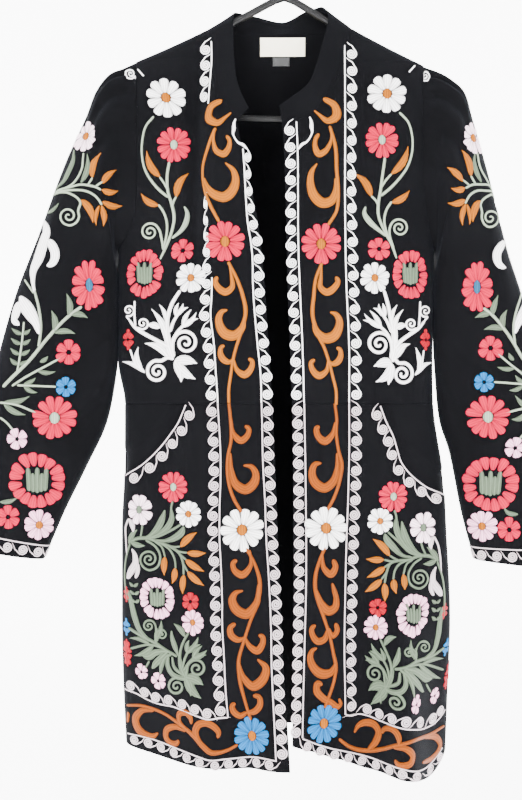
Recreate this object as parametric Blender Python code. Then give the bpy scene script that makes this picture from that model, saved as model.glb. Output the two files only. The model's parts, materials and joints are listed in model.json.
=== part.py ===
# An embroidered jacket that hangs on a tubular hanger.
# Sizes are in millimetres, and mm turns them into Blender's metres.
# +X is the viewer's right, which is the wearer's left. +Y points away from the viewer, +Z up.
# The origin is the top of the inside of the hanger's hook, where a rail carries it.
from collections import namedtuple

import bpy
import numpy as np

mm = 0.001

# cloth
cloth_thickness = 1.6
seam_gap = 0.3
collar_gap = 0.8
sleeve_gap = 0.5
underarm_step = 2.1
underarm_spread = 0.3
pocket_inset = 3.0
label_thickness = 1.0
center_x = -8.0
roundness = 2.5

# hanger
tube_radius = 4.75
hook_inner_radius = 21.0
hanger_tilt = np.radians(1.3)
apex_z = -85.0
apex_rounding = 8.0
arm_fall = 0.6237
arm_flattening = 0.000457
arm_reach = 190.0
bar_z = -255.1
stem_length = 17.0
stem_radii = [7.5, 7.2, 6.0, 5.2]
hook_start, hook_end = -50, 205
hook_bend = 16.0
arm_clearance = 0.8
ridge_lift = tube_radius + arm_clearance + cloth_thickness / 2

# heights of the seams
shoulder_x = {"right": -202.6, "left": 185.3}
neck_x = {"right": -106.0, "left": 88.0}
armpit_z = -435.0
waist_z = -640.0
hem_level = -1100.0
armhole_angles = np.radians([0, 12, 22, 34, 50, 70, 92, 116, 140, 160, 180])

Reach = namedtuple("Reach", "z right left")
side_reaches = [
    Reach(-212, -221, 196),
    Reach(-260, -226, 199),
    Reach(-435, -226, 199),
    Reach(-582, -226, 197),
    Reach(-640, -217, 198),
    Reach(-741, -218, 212),
    Reach(-810, -221, 216),
    Reach(-929, -221, 221),
    Reach(-1014, -219, 218),
    Reach(-1120, -214, 214),
]

Depth = namedtuple("Depth", "z front back")
body_depths = [
    Depth(-130, 13, 22),
    Depth(-158, 21, 27),
    Depth(-181, 28, 31),
    Depth(-215, 37, 42),
    Depth(-260, 45, 48),
    Depth(-330, 50, 52),
    Depth(-640, 52, 54),
    Depth(-929, 52, 56),
    Depth(-1120, 50, 57),
]

Armhole = namedtuple("Armhole", "z right left")
armhole_curve = [
    Armhole(-230, -198.5, 181.5),
    Armhole(-330, -197.5, 181.5),
    Armhole(-385, -201, 187),
    Armhole(-415, -211, 193),
    Armhole(armpit_z, -226, 199),
]

Edge = namedtuple("Edge", "z right left")
front_edges = [
    Edge(-270, -66, -6),
    Edge(-307, -58, -4),
    Edge(-402, -38, -1),
    Edge(-487, -29, 1),
    Edge(-595, -22, 5),
    Edge(-702, -16, 8),
    Edge(-924, -8, 8),
    Edge(-1056, 0, 6),
    Edge(-1120, 4, 5),
]

# the front neck seam, from the front edge up to the shoulder seam
Neck = namedtuple("Neck", "x z")
neck_curves = {
    "right": [Neck(-66, -269), Neck(-82, -236), Neck(-94, -205), Neck(-101, -170)],
    "left": [Neck(-6, -275), Neck(16, -267), Neck(34, -257), Neck(50, -234), Neck(76, -184)],
}
back_neck_z = -132.0

# the pocket mouth, from the waist seam down to the side seam
Mouth = namedtuple("Mouth", "x z")
pocket_mouths = {
    "right": [Mouth(-131, waist_z), Mouth(-142, -664), Mouth(-158, -687), Mouth(-176, -707),
              Mouth(-195, -722), Mouth(-218, -737)],
    "left": [Mouth(118, waist_z), Mouth(133, -672), Mouth(142, -699), Mouth(155, -723),
             Mouth(175, -743), Mouth(198, -757), Mouth(213, -765)],
}
pocket_overlap = 40.0
pocket_underlap = 24.0
pocket_step = 14.0
pocket_lead = 39.0

Hem = namedtuple("Hem", "x z")
hems = {
    "right": [Hem(-214, -1096), Hem(-98, -1105), Hem(4, -1104)],
    "left": [Hem(5, -1071.5), Hem(38, -1086), Hem(70, -1098), Hem(103, -1113), Hem(134, -1115),
             Hem(156, -1117), Hem(170, -1119), Hem(190, -1116), Hem(214, -1106)],
    "back": [Hem(-214, -1096), Hem(-8, -1088), Hem(214, -1106)],
}

# a fold runs down from its top to its low end; push is towards the outside of the cloth
Fold = namedtuple("Fold", "x_top z_top x_low z_low width push fades")
front_folds = [
    Fold(-116, -165, -126, -500, 12, -11, True),
    Fold(-92, -170, -100, -480, 17, 6, True),
    Fold(102, -165, 98, -440, 12, -7, True),
    Fold(74, -230, 72, -460, 16, 4, True),
    Fold(-90, -690, -98, -1110, 62, 33, False),
    Fold(-10, -780, 3, -1110, 52, 44, False),
    Fold(140, -800, 156, -1110, 34, 64, False),
    Fold(60, -720, 66, -1110, 30, 12, False),
    Fold(-150, -640, -160, -860, 18, -5, True),
]
back_folds = [
    Fold(-105, -620, -122, -1110, 34, 20, False),
    Fold(-8, -660, -4, -1110, 40, -8, False),
    Fold(98, -620, 116, -1110, 36, 22, False),
    Fold(-92, -190, -110, -480, 16, -6, True),
    Fold(84, -190, 92, -470, 16, -6, True),
]

# sleeve rows run from the gathered head to the cuff: the outer and inner edges, and half depth
Cross = namedtuple("Cross", "outer_x outer_z inner_x inner_z depth y")
sleeve_rows = {
    "right": [
        Cross(-202.6, -181, -227.6, -435, 32, 0),
        Cross(-219, -188, -229.6, -440, 37, 0),
        Cross(-237, -196, -230.2, -446, 41, 0),
        Cross(-255, -219, -230.3, -456, 42, 0),
        Cross(-269, -254, -230.3, -470, 41, 0),
        Cross(-298, -319, -230.3, -500, 37, -2),
        Cross(-333, -414, -230.3, -550, 33, -4),
        Cross(-363, -493, -231, -600, 30, -6),
        Cross(-387, -578, -242, -665, 28, -8),
        Cross(-407, -660, -268, -722, 27, -10),
        Cross(-426, -745, -298, -783, 25, -10),
        Cross(-439, -830, -325.7, -847.7, 24, -10),
    ],
    "left": [
        Cross(185.3, -182, 200.8, -435, 30, 0),
        Cross(201, -190, 202.6, -440, 35, 0),
        Cross(221, -202, 203.2, -446, 39, 0),
        Cross(239, -219, 203.2, -455, 40, 0),
        Cross(250, -254, 203.2, -468, 40, 0),
        Cross(271, -331, 203.2, -505, 36, -2),
        Cross(295, -425, 203.2, -552, 32, -4),
        Cross(318, -500, 203, -602, 30, -6),
        Cross(343, -588, 207, -661, 28, -8),
        Cross(358, -670, 221, -708, 27, -10),
        Cross(366, -765, 236, -784, 25, -10),
        Cross(369, -861, 253, -848, 24, -10),
    ],
}
sleeve_stations = [0, 0.15, 0.4, 0.8, 1.3, 1.9, 2.5, 3, 3.5, 4, 4.5, 5, 5.6, 6.3, 7, 7.8, 8.6, 9.4, 10.2, 11]
sleeve_fullness = 0.86
seam_fades = [0.8, 1.6, 1.6]
gather_count = 4
gather_height = 4.0
gather_start = np.radians(12)
gather_end = np.radians(112)

# the collar's top edge; seam runs 0 to 1 up the right front, 1 to 2 round the back, 2 to 3 down the left
Stand = namedtuple("Stand", "seam x y z")
collar_top = [
    Stand(0.0, -49.6, -50, -254),
    Stand(0.3, -61, -43, -228),
    Stand(0.55, -68, -33, -200),
    Stand(0.8, -70.5, -20, -155),
    Stand(0.93, -71, -10, -124),
    Stand(1.05, -68, 6, -108),
    Stand(1.3, -42, 28, -105),
    Stand(1.5, -5, 40, -109),
    Stand(1.75, 28, 28, -98.5),
    Stand(1.95, 47, 5, -100.5),
    Stand(2.07, 56.5, -11, -118),
    Stand(2.3, 50.6, -22, -150),
    Stand(2.55, 38, -35, -195),
    Stand(2.72, 29, -42, -218),
    Stand(3.0, -9.8, -51, -251),
]

Label = namedtuple("Label", "name low_x high_x top_z low_z color")
labels = [
    Label("label_main", -35, 27, -136.5, -161, (0.80, 0.74, 0.62)),
    Label("label_size", -18, 6, -161.6, -174, (0.05, 0.05, 0.055)),
]

black_cloth = (0.012, 0.012, 0.014)
black_plastic = (0.01, 0.01, 0.011)


def smooth_table(xs, ys, at):
    """Reads a table by a cubic through its rows that doesn't overshoot them."""
    xs, ys = np.asarray(xs, float), np.asarray(ys, float)
    if xs[0] > xs[-1]:
        xs, ys = xs[::-1], ys[::-1]
    steps = np.diff(xs)
    rises = np.diff(ys) / steps
    slopes = np.concatenate([rises[:1], (rises[:-1] + rises[1:]) / 2, rises[-1:]])
    turning = rises[:-1] * rises[1:] <= 0
    slopes[1:-1][turning] = 0
    limit = 3 * np.minimum(np.abs(np.append(rises, rises[-1])), np.abs(np.insert(rises, 0, rises[0])))
    slopes = np.clip(slopes, -limit, limit)
    at = np.clip(np.asarray(at, float), xs[0], xs[-1])
    row = np.clip(np.searchsorted(xs, at, side="right") - 1, 0, len(steps) - 1)
    t = (at - xs[row]) / steps[row]
    return (ys[row] * (1 + 2 * t) * (1 - t) ** 2 + slopes[row] * steps[row] * t * (1 - t) ** 2
            + ys[row + 1] * (3 - 2 * t) * t ** 2 - slopes[row + 1] * steps[row] * (1 - t) * t ** 2)


def column(rows, name):
    return [getattr(row, name) for row in rows]


def ramp(t):
    t = np.clip(t, 0, 1)
    return t * t * (3 - 2 * t)


# The hanger's arms and, just above them, the ridge of the shoulders

def arm_height(x):
    return apex_z - arm_fall * np.hypot(x, apex_rounding) + arm_flattening * x * x


def tilted(x, z):
    c, s = np.cos(hanger_tilt), np.sin(hanger_tilt)
    return x * c + z * s, -x * s + z * c


def ridge_line(side):
    """The middle of the cloth where it lies over the arm, from the neck outwards."""
    x = np.linspace(60, 232, 80)
    slope = np.gradient(arm_height(x), x)
    across = np.hypot(slope, 1)
    out_x, out_z = x - slope / across * ridge_lift, arm_height(x) + ridge_lift / across
    sign = -1 if side == "right" else 1
    return tilted(sign * out_x, out_z)


ridges = {side: ridge_line(side) for side in ("right", "left")}


def ridge_z(side, x):
    line_x, line_z = ridges[side]
    order = np.argsort(line_x)
    return float(np.interp(x, line_x[order], line_z[order]))


def ridge_x(side, z):
    line_x, line_z = ridges[side]
    return np.interp(z, line_z[::-1], line_x[::-1])


shoulder_z = {side: ridge_z(side, shoulder_x[side]) for side in shoulder_x}
neck_z = {side: ridge_z(side, neck_x[side]) for side in neck_x}


# The body's surface: each level is a flattened loop round the centre line

def reach_at(side, z):
    """Where the loop at height z ends at the side, as x."""
    rows = [Reach(shoulder_z[side], shoulder_x["right"], shoulder_x["left"])] + side_reaches
    below = smooth_table(column(rows, "z"), column(rows, side), z)
    return np.where(z > shoulder_z[side], ridge_x(side, z), below)


def armhole_at(side, z):
    rows = [Armhole(shoulder_z[side], shoulder_x["right"], shoulder_x["left"])] + armhole_curve
    return smooth_table(column(rows, "z"), column(rows, side), z)


def side_at(side, z):
    """The panel's side edge: shoulder seam, then armhole, then side seam."""
    in_armhole = (z < shoulder_z[side]) & (z > armpit_z)
    return np.where(in_armhole, armhole_at(side, z), reach_at(side, z))


def folds_at(folds, x, z):
    total = np.zeros_like(x)
    for fold in folds:
        t = (fold.z_top - z) / (fold.z_top - fold.z_low)
        line = fold.x_top + (fold.x_low - fold.x_top) * t
        strength = ramp(t / 0.3) * ramp((1 - t) / 0.35) if fold.fades else ramp(t)
        total += fold.push * strength * np.exp(-((x - line) / fold.width) ** 2)
    return total


def body_y(face, x, z):
    """How far the cloth stands in front of or behind the middle plane."""
    reach = np.where(x < center_x, reach_at("right", z), reach_at("left", z))
    t = np.clip((x - center_x) / (reach - center_x), 0, 1)
    depth = smooth_table(column(body_depths, "z"), column(body_depths, face), z)
    folds = folds_at(front_folds if face == "front" else back_folds, x, z)
    away = depth * (1 - t ** roundness) ** (1 / roundness) + folds * (1 - t ** 6)
    return -away if face == "front" else away


def body_normal(points, face, step=0.5):
    """The way out of the body's surface, worked out from points close by."""
    x, z = points[..., 0], points[..., 2]
    slope_x = (body_y(face, x + step, z) - body_y(face, x - step, z)) / (2 * step)
    slope_z = (body_y(face, x, z + step) - body_y(face, x, z - step)) / (2 * step)
    normal = np.stack([-slope_x, np.ones_like(x), -slope_z], axis=-1)
    normal /= np.linalg.norm(normal, axis=-1, keepdims=True)
    return -normal if face == "front" else normal


def seam_normal(points, on_front):
    return np.where(on_front[..., None], body_normal(points, "front"), body_normal(points, "back"))


def turn_at(side, x, z):
    """The angle round the loop, 0 at the centre line and a quarter turn at the side."""
    return np.arcsin(np.clip((x - center_x) / (reach_at(side, z) - center_x), -1, 1))


def x_at(side, turn, z):
    return center_x + (reach_at(side, z) - center_x) * np.sin(turn)


def neck_curve(side, t):
    """The front neck seam from the front edge, 0, to the shoulder seam, 1."""
    rows = neck_curves[side] + [Neck(neck_x[side], neck_z[side])]
    spans = np.hypot(np.diff(column(rows, "x")), np.diff(column(rows, "z")))
    along = np.concatenate([[0], np.cumsum(spans)]) / spans.sum()
    return smooth_table(along, column(rows, "x"), t), smooth_table(along, column(rows, "z"), t)


def back_neck_at(x):
    ends = np.where(x < center_x, neck_z["right"], neck_z["left"])
    reach = np.where(x < center_x, neck_x["right"], neck_x["left"]) - center_x
    return back_neck_z + (ends - back_neck_z) * ramp((x - center_x) / reach)


def across_share(side, x, z):
    """How far across the front panel a point lies, 0 at its edge and 1 at its side."""
    edge = turn_at(side, smooth_table(column(front_edges, "z"), column(front_edges, side), z), z)
    outer = turn_at(side, side_at(side, z), z)
    return (turn_at(side, x, z) - edge) / (outer - edge)


def front_points(side, share, z):
    edge = turn_at(side, smooth_table(column(front_edges, "z"), column(front_edges, side), z), z)
    outer = turn_at(side, side_at(side, z), z)
    x = x_at(side, edge + (outer - edge) * share, z)
    return np.stack([x, body_y("front", x, z), z], axis=-1)


def shares_to_side(count):
    """Even steps across a panel, with closer ones where it rounds over at its side."""
    return np.concatenate([np.linspace(0, 0.93, count), [0.97, 1]])


def armhole_levels(side):
    """Heights down the armhole, closer together where it rounds at the shoulder and the armpit."""
    top, low = shoulder_z[side], armpit_z
    return (top + low) / 2 + (top - low) / 2 * np.cos(armhole_angles)


def levels(heights, counts):
    """Row heights between named heights, each span cut into its count."""
    parts = [np.linspace(a, b, n, endpoint=False) for a, b, n in zip(heights, heights[1:], counts)]
    return np.concatenate(parts + [[heights[-1]]])


def panel_levels(side, low, count):
    """Row heights from the neck to the armpit, and on to a low edge."""
    shoulder = np.linspace(neck_z[side], shoulder_z[side], 4)[:-1]
    return np.concatenate([shoulder, armhole_levels(side)[:-1], np.linspace(armpit_z, low, count + 1)])


def upper_front_grid(side, columns=13):
    rows = panel_levels(side, waist_z + seam_gap / 2, 7)
    down = (rows[0] - rows) / (rows[0] - rows[-1])
    share = shares_to_side(columns)
    seam_x, seam_z = neck_curve(side, np.linspace(0, 1, 60))
    seam_share = across_share(side, seam_x, seam_z)
    seam_share[-1] = 1
    top = np.interp(share, seam_share, seam_z)
    z = top[None, :] + (rows[-1] - top)[None, :] * down[:, None]
    return front_points(side, np.broadcast_to(share, z.shape), z)


def hem_at(name, x):
    order = np.argsort(column(hems[name], "x"))
    return smooth_table(np.array(column(hems[name], "x"))[order], np.array(column(hems[name], "z"))[order], x)


def skirt_front_grid(side, columns=(7, 6), rows=16):
    mouth = pocket_mouths[side]
    mouth_x, mouth_z = np.array(column(mouth, "x")), np.array(column(mouth, "z"))
    mouth_share = across_share(side, mouth_x, mouth_z)
    mouth_share[-1] = 1
    share = levels([0, mouth_share[0], 1], columns)
    top = smooth_table(mouth_share, mouth_z, share) - seam_gap / 2
    low_z = np.full_like(share, hem_level)
    low = hem_at(side, front_points(side, share, low_z)[:, 0])
    down = np.linspace(0, 1, rows + 1)[:, None]
    z = top[None, :] + (low - top)[None, :] * down
    return front_points(side, np.broadcast_to(share, z.shape), z)


def mouth_z(side, x):
    """The height of the pocket mouth's edge; it stays at the waist seam on the inner side."""
    rows = sorted(pocket_mouths[side])
    return np.interp(x, column(rows, "x"), column(rows, "z"))


def pocket_grid(side, columns=8, rows=7):
    """The piece behind the pocket mouth: level with its neighbours, then in behind the skirt's front."""
    sign = -1 if side == "right" else 1
    start = np.array(pocket_mouths[side][0].x - sign * pocket_underlap)
    turn = np.linspace(turn_at(side, start, np.array(waist_z)), np.pi / 2, columns + 1)
    low = mouth_z(side, x_at(side, turn, np.full_like(turn, waist_z))) - pocket_overlap
    top = waist_z - seam_gap / 2
    z = top + (low - top)[None, :] * np.linspace(0, 1, rows + 1)[:, None]
    x = x_at(side, np.broadcast_to(turn, z.shape), z)
    points = np.stack([x, body_y("front", x, z), z], axis=-1)
    inset = pocket_inset * ramp((mouth_z(side, x) + pocket_lead - z) / pocket_step)
    return points - inset[..., None] * body_normal(points, "front")


def back_grid(columns=9):
    """Both halves of the back, from side to side."""
    halves = []
    for side in ("right", "left"):
        rows = np.concatenate([panel_levels(side, waist_z, 6)[:-1], np.linspace(waist_z, hem_level, 9)])
        share = shares_to_side(columns)
        down = np.minimum((rows[0] - rows) / (rows[0] - waist_z), 1)[:, None]
        top = back_neck_at(center_x + (neck_x[side] - center_x) * np.sin(share * np.pi / 2))
        z = top + (waist_z - top) * down
        skirt = rows < waist_z
        below = ((waist_z - rows[skirt]) / (waist_z - hem_level))[:, None]
        edge = reach_at(side, np.array(hem_level))
        low = hem_at("back", center_x + (edge - center_x) * np.sin(share * np.pi / 2))
        z[skirt] = waist_z + (low - waist_z) * below
        outer = turn_at(side, side_at(side, z), z)
        x = x_at(side, outer * share, z)
        halves.append(np.stack([x, body_y("back", x, z), z], axis=-1))
    right, left = halves
    return np.concatenate([right[:, ::-1], left[:, 1:]], axis=1)


def armhole_ring(side, angles):
    """The sleeve's seam just outside the armhole, and the way out of the cloth there.
    Angle 0 is the shoulder, a half turn the armpit, and the front lies between."""
    knots = np.concatenate([armhole_angles, 2 * np.pi - armhole_angles[-2:0:-1]])
    z = np.concatenate([armhole_levels(side), armhole_levels(side)[-2:0:-1]])
    x = armhole_at(side, z)
    on_front = knots <= np.pi
    y = np.where(on_front, body_y("front", x, z), body_y("back", x, z))
    seam = np.stack([x, y, z], axis=-1)
    normals = seam_normal(seam, on_front)
    along = np.roll(seam, -1, axis=0) - np.roll(seam, 1, axis=0)
    away = np.cross(along, normals)
    away /= np.linalg.norm(away, axis=-1, keepdims=True)
    sign = -1 if side == "right" else 1
    away *= np.sign(away[5, 0]) * sign
    under = np.exp(-((knots - np.pi) / underarm_spread) ** 2)[:, None]
    lift = np.array([sign * underarm_step, 0, underarm_step])
    ring = seam + away * sleeve_gap * (1 - under) + lift * under
    between = [[np.interp(angles, knots, values[:, i], period=2 * np.pi) for i in range(3)]
               for values in (ring, normals)]
    return np.array(between[0]).T, np.array(between[1]).T


def sleeve_angles():
    head = np.concatenate([[0, gather_start / 2], np.linspace(gather_start, gather_end, 15)])
    under = np.linspace(gather_end, 2 * np.pi - gather_end, 9)[1:-1]
    return np.concatenate([head, under, 2 * np.pi - head[:0:-1]])


def sleeve_grid(side):
    rows = sleeve_rows[side]
    angles = sleeve_angles()
    stations = np.array(sleeve_stations, float)
    index = np.arange(len(rows))
    at = {name: smooth_table(index, column(rows, name), stations)[:, None] for name in Cross._fields}
    c = np.sign(np.cos(angles)) * np.abs(np.cos(angles)) ** sleeve_fullness
    s = np.sign(np.sin(angles)) * np.abs(np.sin(angles)) ** sleeve_fullness
    x = (at["outer_x"] + at["inner_x"]) / 2 + (at["outer_x"] - at["inner_x"]) / 2 * c
    z = (at["outer_z"] + at["inner_z"]) / 2 + (at["outer_z"] - at["inner_z"]) / 2 * c
    y = at["y"] - at["depth"] * s
    points = np.stack([x, y, z], axis=-1)
    ring, seam_normals = armhole_ring(side, angles)
    fade = 1 - ramp(stations[:, None] / np.array(seam_fades))
    points += (ring - points[0]) * fade[:, None]
    # the gathers fan down from the seam and are gone a hand's width below it
    part = (np.minimum(angles, 2 * np.pi - angles) - gather_start) / (gather_end - gather_start)
    wave = np.cos(2 * np.pi * gather_count * part) * ramp(part / 0.1) * (1 - ramp(part * 3 - 2))
    rise = ramp(stations / 0.8) * (1 - ramp((stations - 1.5) / 3.5))
    normals = grid_normals(points, side == "right", True)
    points += normals * (gather_height * wave[None, :] * rise[:, None])[..., None]
    normals = grid_normals(points, side == "right", True)
    normals[0] = seam_normals
    return points, normals


def neck_seam():
    """The top edges of the fronts and back in one run, each point's place and the way out there.
    The count goes 0 to 1 up the right front, 1 to 2 round the back, 2 to 3 down the left front."""
    runs = [upper_front_grid("right")[0], back_grid()[0], upper_front_grid("left")[0][::-1]]
    points, normals, counts = [], [], []
    for start, run in enumerate(runs):
        steps = np.linalg.norm(np.diff(run, axis=0), axis=-1)
        counts.append(start + np.concatenate([[0], np.cumsum(steps)]) / steps.sum())
        points.append(run)
        normals.append(body_normal(run, "back" if start == 1 else "front"))
    keep = [slice(None, -1), slice(None), slice(1, None)]
    return [np.concatenate([part[k] for part, k in zip(parts, keep)]) for parts in (counts, points, normals)]


def collar_grid(bands=3):
    count, seam, seam_normals = neck_seam()
    knots = column(collar_top, "seam")
    top = np.stack([smooth_table(knots, column(collar_top, name), count) for name in "xyz"], axis=-1)
    rise = top - seam
    low = seam + rise / np.linalg.norm(rise, axis=-1, keepdims=True) * collar_gap
    t = np.linspace(0, 1, bands + 1)[:, None, None]
    points = low + (top - low) * t
    normals = grid_normals(points, True)
    normals[0] = seam_normals
    return points, normals


def label_grid(label, columns=8, rows=3):
    x = np.linspace(label.low_x, label.high_x, columns + 1)
    z = np.linspace(label.top_z, label.low_z, rows + 1)
    x, z = np.meshgrid(x, z)
    y = body_y("back", x, z) - cloth_thickness / 2 - seam_gap - label_thickness / 2
    return np.stack([x, y, z], axis=-1)


# Meshes

def grid_normals(points, flip, loops=False):
    if loops:
        wide = np.concatenate([points[:, -1:], points, points[:, :1]], axis=1)
        across = (wide[:, 2:] - wide[:, :-2])
    else:
        across = np.gradient(points, axis=1)
    down = np.gradient(points, axis=0)
    normals = np.cross(across, down)
    length = np.linalg.norm(normals, axis=-1, keepdims=True)
    normals = normals / np.maximum(length, 1e-9)
    return -normals if flip else normals


def plain_material(name, color, roughness):
    material = bpy.data.materials.new(name)
    material.use_nodes = True
    shader = material.node_tree.nodes["Principled BSDF"]
    shader.inputs["Base Color"].default_value = (*color, 1)
    shader.inputs["Roughness"].default_value = roughness
    shader.inputs["Metallic"].default_value = 0.0
    return material


def add_object(name, points, faces, color, roughness):
    mesh = bpy.data.meshes.new(name)
    mesh.from_pydata((points * mm).tolist(), [], faces)
    mesh.materials.append(plain_material(name, color, roughness))
    mesh.shade_smooth()
    mesh.set_sharp_from_angle(angle=np.radians(40))
    thing = bpy.data.objects.new(name, mesh)
    bpy.context.scene.collection.objects.link(thing)
    return thing


def add_wall(name, middle, normals, thickness, color, roughness=0.9, loops=False, keep=None):
    """A cloth wall round its middle surface; keep holds its points on their side of a seam."""
    rows, columns = middle.shape[:2]
    outer = middle + normals * thickness / 2
    inner = middle - normals * thickness / 2
    points = np.concatenate([outer.reshape(-1, 3), inner.reshape(-1, 3)])
    if keep:
        points = keep(points)
    number = np.arange(rows * columns).reshape(rows, columns)
    if loops:
        number = np.concatenate([number, number[:, :1]], axis=1)
    a, b, c, d = number[:-1, :-1], number[:-1, 1:], number[1:, 1:], number[1:, :-1]
    half = rows * columns
    front = np.stack([a, b, c, d], axis=-1).reshape(-1, 4)
    faces = [front, front[:, ::-1] + half]
    rims = [number[0], number[-1][::-1]]
    if not loops:
        rims += [number[::-1, 0], number[:, -1]]
    for rim in rims:
        faces.append(np.stack([rim[1:], rim[:-1], rim[:-1] + half, rim[1:] + half], axis=-1))
    faces = np.concatenate(faces)
    row, place = rows // 2, columns // 2
    corner = middle[row, place]
    facing = np.cross(middle[row, place + 1] - corner, middle[row + 1, place] - corner)
    if facing @ normals[row, place] < 0:
        faces = faces[:, ::-1]
    return add_object(name, points, faces.tolist(), color, roughness)


def keep_front(points):
    points[:, 1] = np.minimum(points[:, 1], -seam_gap / 2)
    return points


def keep_back(points):
    points[:, 1] = np.maximum(points[:, 1], seam_gap / 2)
    return points


def keep_upper(points):
    points = keep_front(points)
    points[:, 2] = np.maximum(points[:, 2], waist_z + seam_gap / 2)
    return points


def keep_skirt(points):
    points = keep_front(points)
    points[:, 2] = np.minimum(points[:, 2], waist_z - seam_gap / 2)
    return points


def add_fronts():
    for side in ("right", "left"):
        pieces = [("front_upper_", upper_front_grid(side), keep_upper),
                  ("front_skirt_", skirt_front_grid(side), keep_skirt),
                  ("pocket_", pocket_grid(side), keep_skirt)]
        for name, points, keep in pieces:
            add_wall(name + side, points, body_normal(points, "front"), cloth_thickness,
                     black_cloth, keep=keep)


def add_back():
    points = back_grid()
    add_wall("back", points, body_normal(points, "back"), cloth_thickness, black_cloth, keep=keep_back)


def add_sleeves():
    for side in ("right", "left"):
        points, normals = sleeve_grid(side)
        add_wall("sleeve_" + side, points, normals, cloth_thickness, black_cloth, loops=True)


def add_collar():
    points, normals = collar_grid()
    add_wall("collar", points, normals, cloth_thickness, black_cloth)


def add_labels():
    for label in labels:
        points = label_grid(label)
        normals = np.broadcast_to(np.array([0.0, -1.0, 0.0]), points.shape)
        add_wall(label.name, points, normals, label_thickness, label.color)


def sweep(name, path, radii, closed, sides=10):
    """A round tube along a path that lies in the plane y = 0."""
    path = np.asarray(path, float)
    if closed:
        ahead = np.roll(path, -1, axis=0) - np.roll(path, 1, axis=0)
    else:
        ahead = np.gradient(path, axis=0)
    ahead /= np.linalg.norm(ahead, axis=-1, keepdims=True)
    across = np.stack([-ahead[:, 1], ahead[:, 0]], axis=-1)
    angles = np.linspace(0, 2 * np.pi, sides, endpoint=False)
    radii = np.broadcast_to(radii, len(path))[:, None]
    x = path[:, :1] + across[:, :1] * np.cos(angles) * radii
    z = path[:, 1:] + across[:, 1:] * np.cos(angles) * radii
    y = np.broadcast_to(np.sin(angles), x.shape) * radii
    x, z = tilted(x, z)
    points = np.stack([x, y, z], axis=-1).reshape(-1, 3)
    rings = len(path)
    number = np.arange(rings * sides).reshape(rings, sides)
    number = np.concatenate([number, number[:, :1]], axis=1)
    if closed:
        number = np.concatenate([number, number[:1]])
    a, b, c, d = number[:-1, :-1], number[:-1, 1:], number[1:, 1:], number[1:, :-1]
    faces = np.stack([a, d, c, b], axis=-1).reshape(-1, 4).tolist()
    if not closed:
        faces += [number[0, :-1].tolist(), number[-1, :-1][::-1].tolist()]
    return add_object(name, points, faces, black_plastic, 0.2)


def arc(center_x, center_z, radius, start, end, count):
    angles = np.radians(np.linspace(start, end, count))
    return np.stack([center_x + radius * np.cos(angles), center_z + radius * np.sin(angles)], axis=-1)


def add_hanger_frame():
    x = np.linspace(0, arm_reach, 15)
    arm = np.stack([x, arm_height(x)], axis=-1)
    slope = np.arctan2(arm[-2, 1] - arm[-1, 1], arm[-1, 0] - arm[-2, 0])
    radius = (arm[-1, 1] - bar_z) / (1 + np.cos(slope))
    bend_x = arm_reach - radius * np.sin(slope)
    bend = arc(bend_x, bar_z + radius, radius, 90 - np.degrees(slope), -90, 10)[1:]
    bar = np.stack([np.linspace(bend_x, 0, 6)[1:], np.full(5, bar_z)], axis=-1)
    half = np.concatenate([arm, bend, bar])
    other = half[1:-1][::-1] * [-1, 1]
    sweep("hanger_frame", np.concatenate([half, other]), tube_radius, True)


def add_hanger_hook():
    """A stem on the frame's top and a hook round the rail's place."""
    radius = hook_inner_radius + tube_radius
    foot_z = arm_height(0.0) + tube_radius + seam_gap
    stem = np.stack([np.zeros(len(stem_radii)), np.linspace(foot_z, foot_z + stem_length, len(stem_radii))], axis=-1)
    hook = arc(0, -hook_inner_radius, radius, hook_start, hook_end, 18)
    start, end = stem[-1], hook[0]
    lead = np.array([0, 1]) * hook_bend
    turn = np.radians(hook_start)
    tail = np.array([-np.sin(turn), np.cos(turn)]) * hook_bend
    t = np.linspace(0, 1, 7)[1:-1, None]
    bend = (start * (1 + 2 * t) * (1 - t) ** 2 + lead * t * (1 - t) ** 2
            + end * (3 - 2 * t) * t ** 2 - tail * (1 - t) * t ** 2)
    path = np.concatenate([stem, bend, hook])
    radii = np.full(len(path), tube_radius)
    radii[:len(stem_radii)] = stem_radii
    radii[-1] = tube_radius * 0.6
    sweep("hanger_hook", path, radii, False)


def main():
    for thing in list(bpy.data.objects):
        bpy.data.objects.remove(thing)
    add_back()
    add_fronts()
    add_sleeves()
    add_collar()
    add_labels()
    add_hanger_frame()
    add_hanger_hook()


main()
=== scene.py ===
# A black cotton jacket with stitched flowers and scrolls, hung on a tubular hanger.
# Garment sizes are in millimetres. A motif's place is given in the photograph's pixels, 522 x 800,
# and the motif lies on the cloth under that pixel. Right and left are the wearer's.
import json

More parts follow.
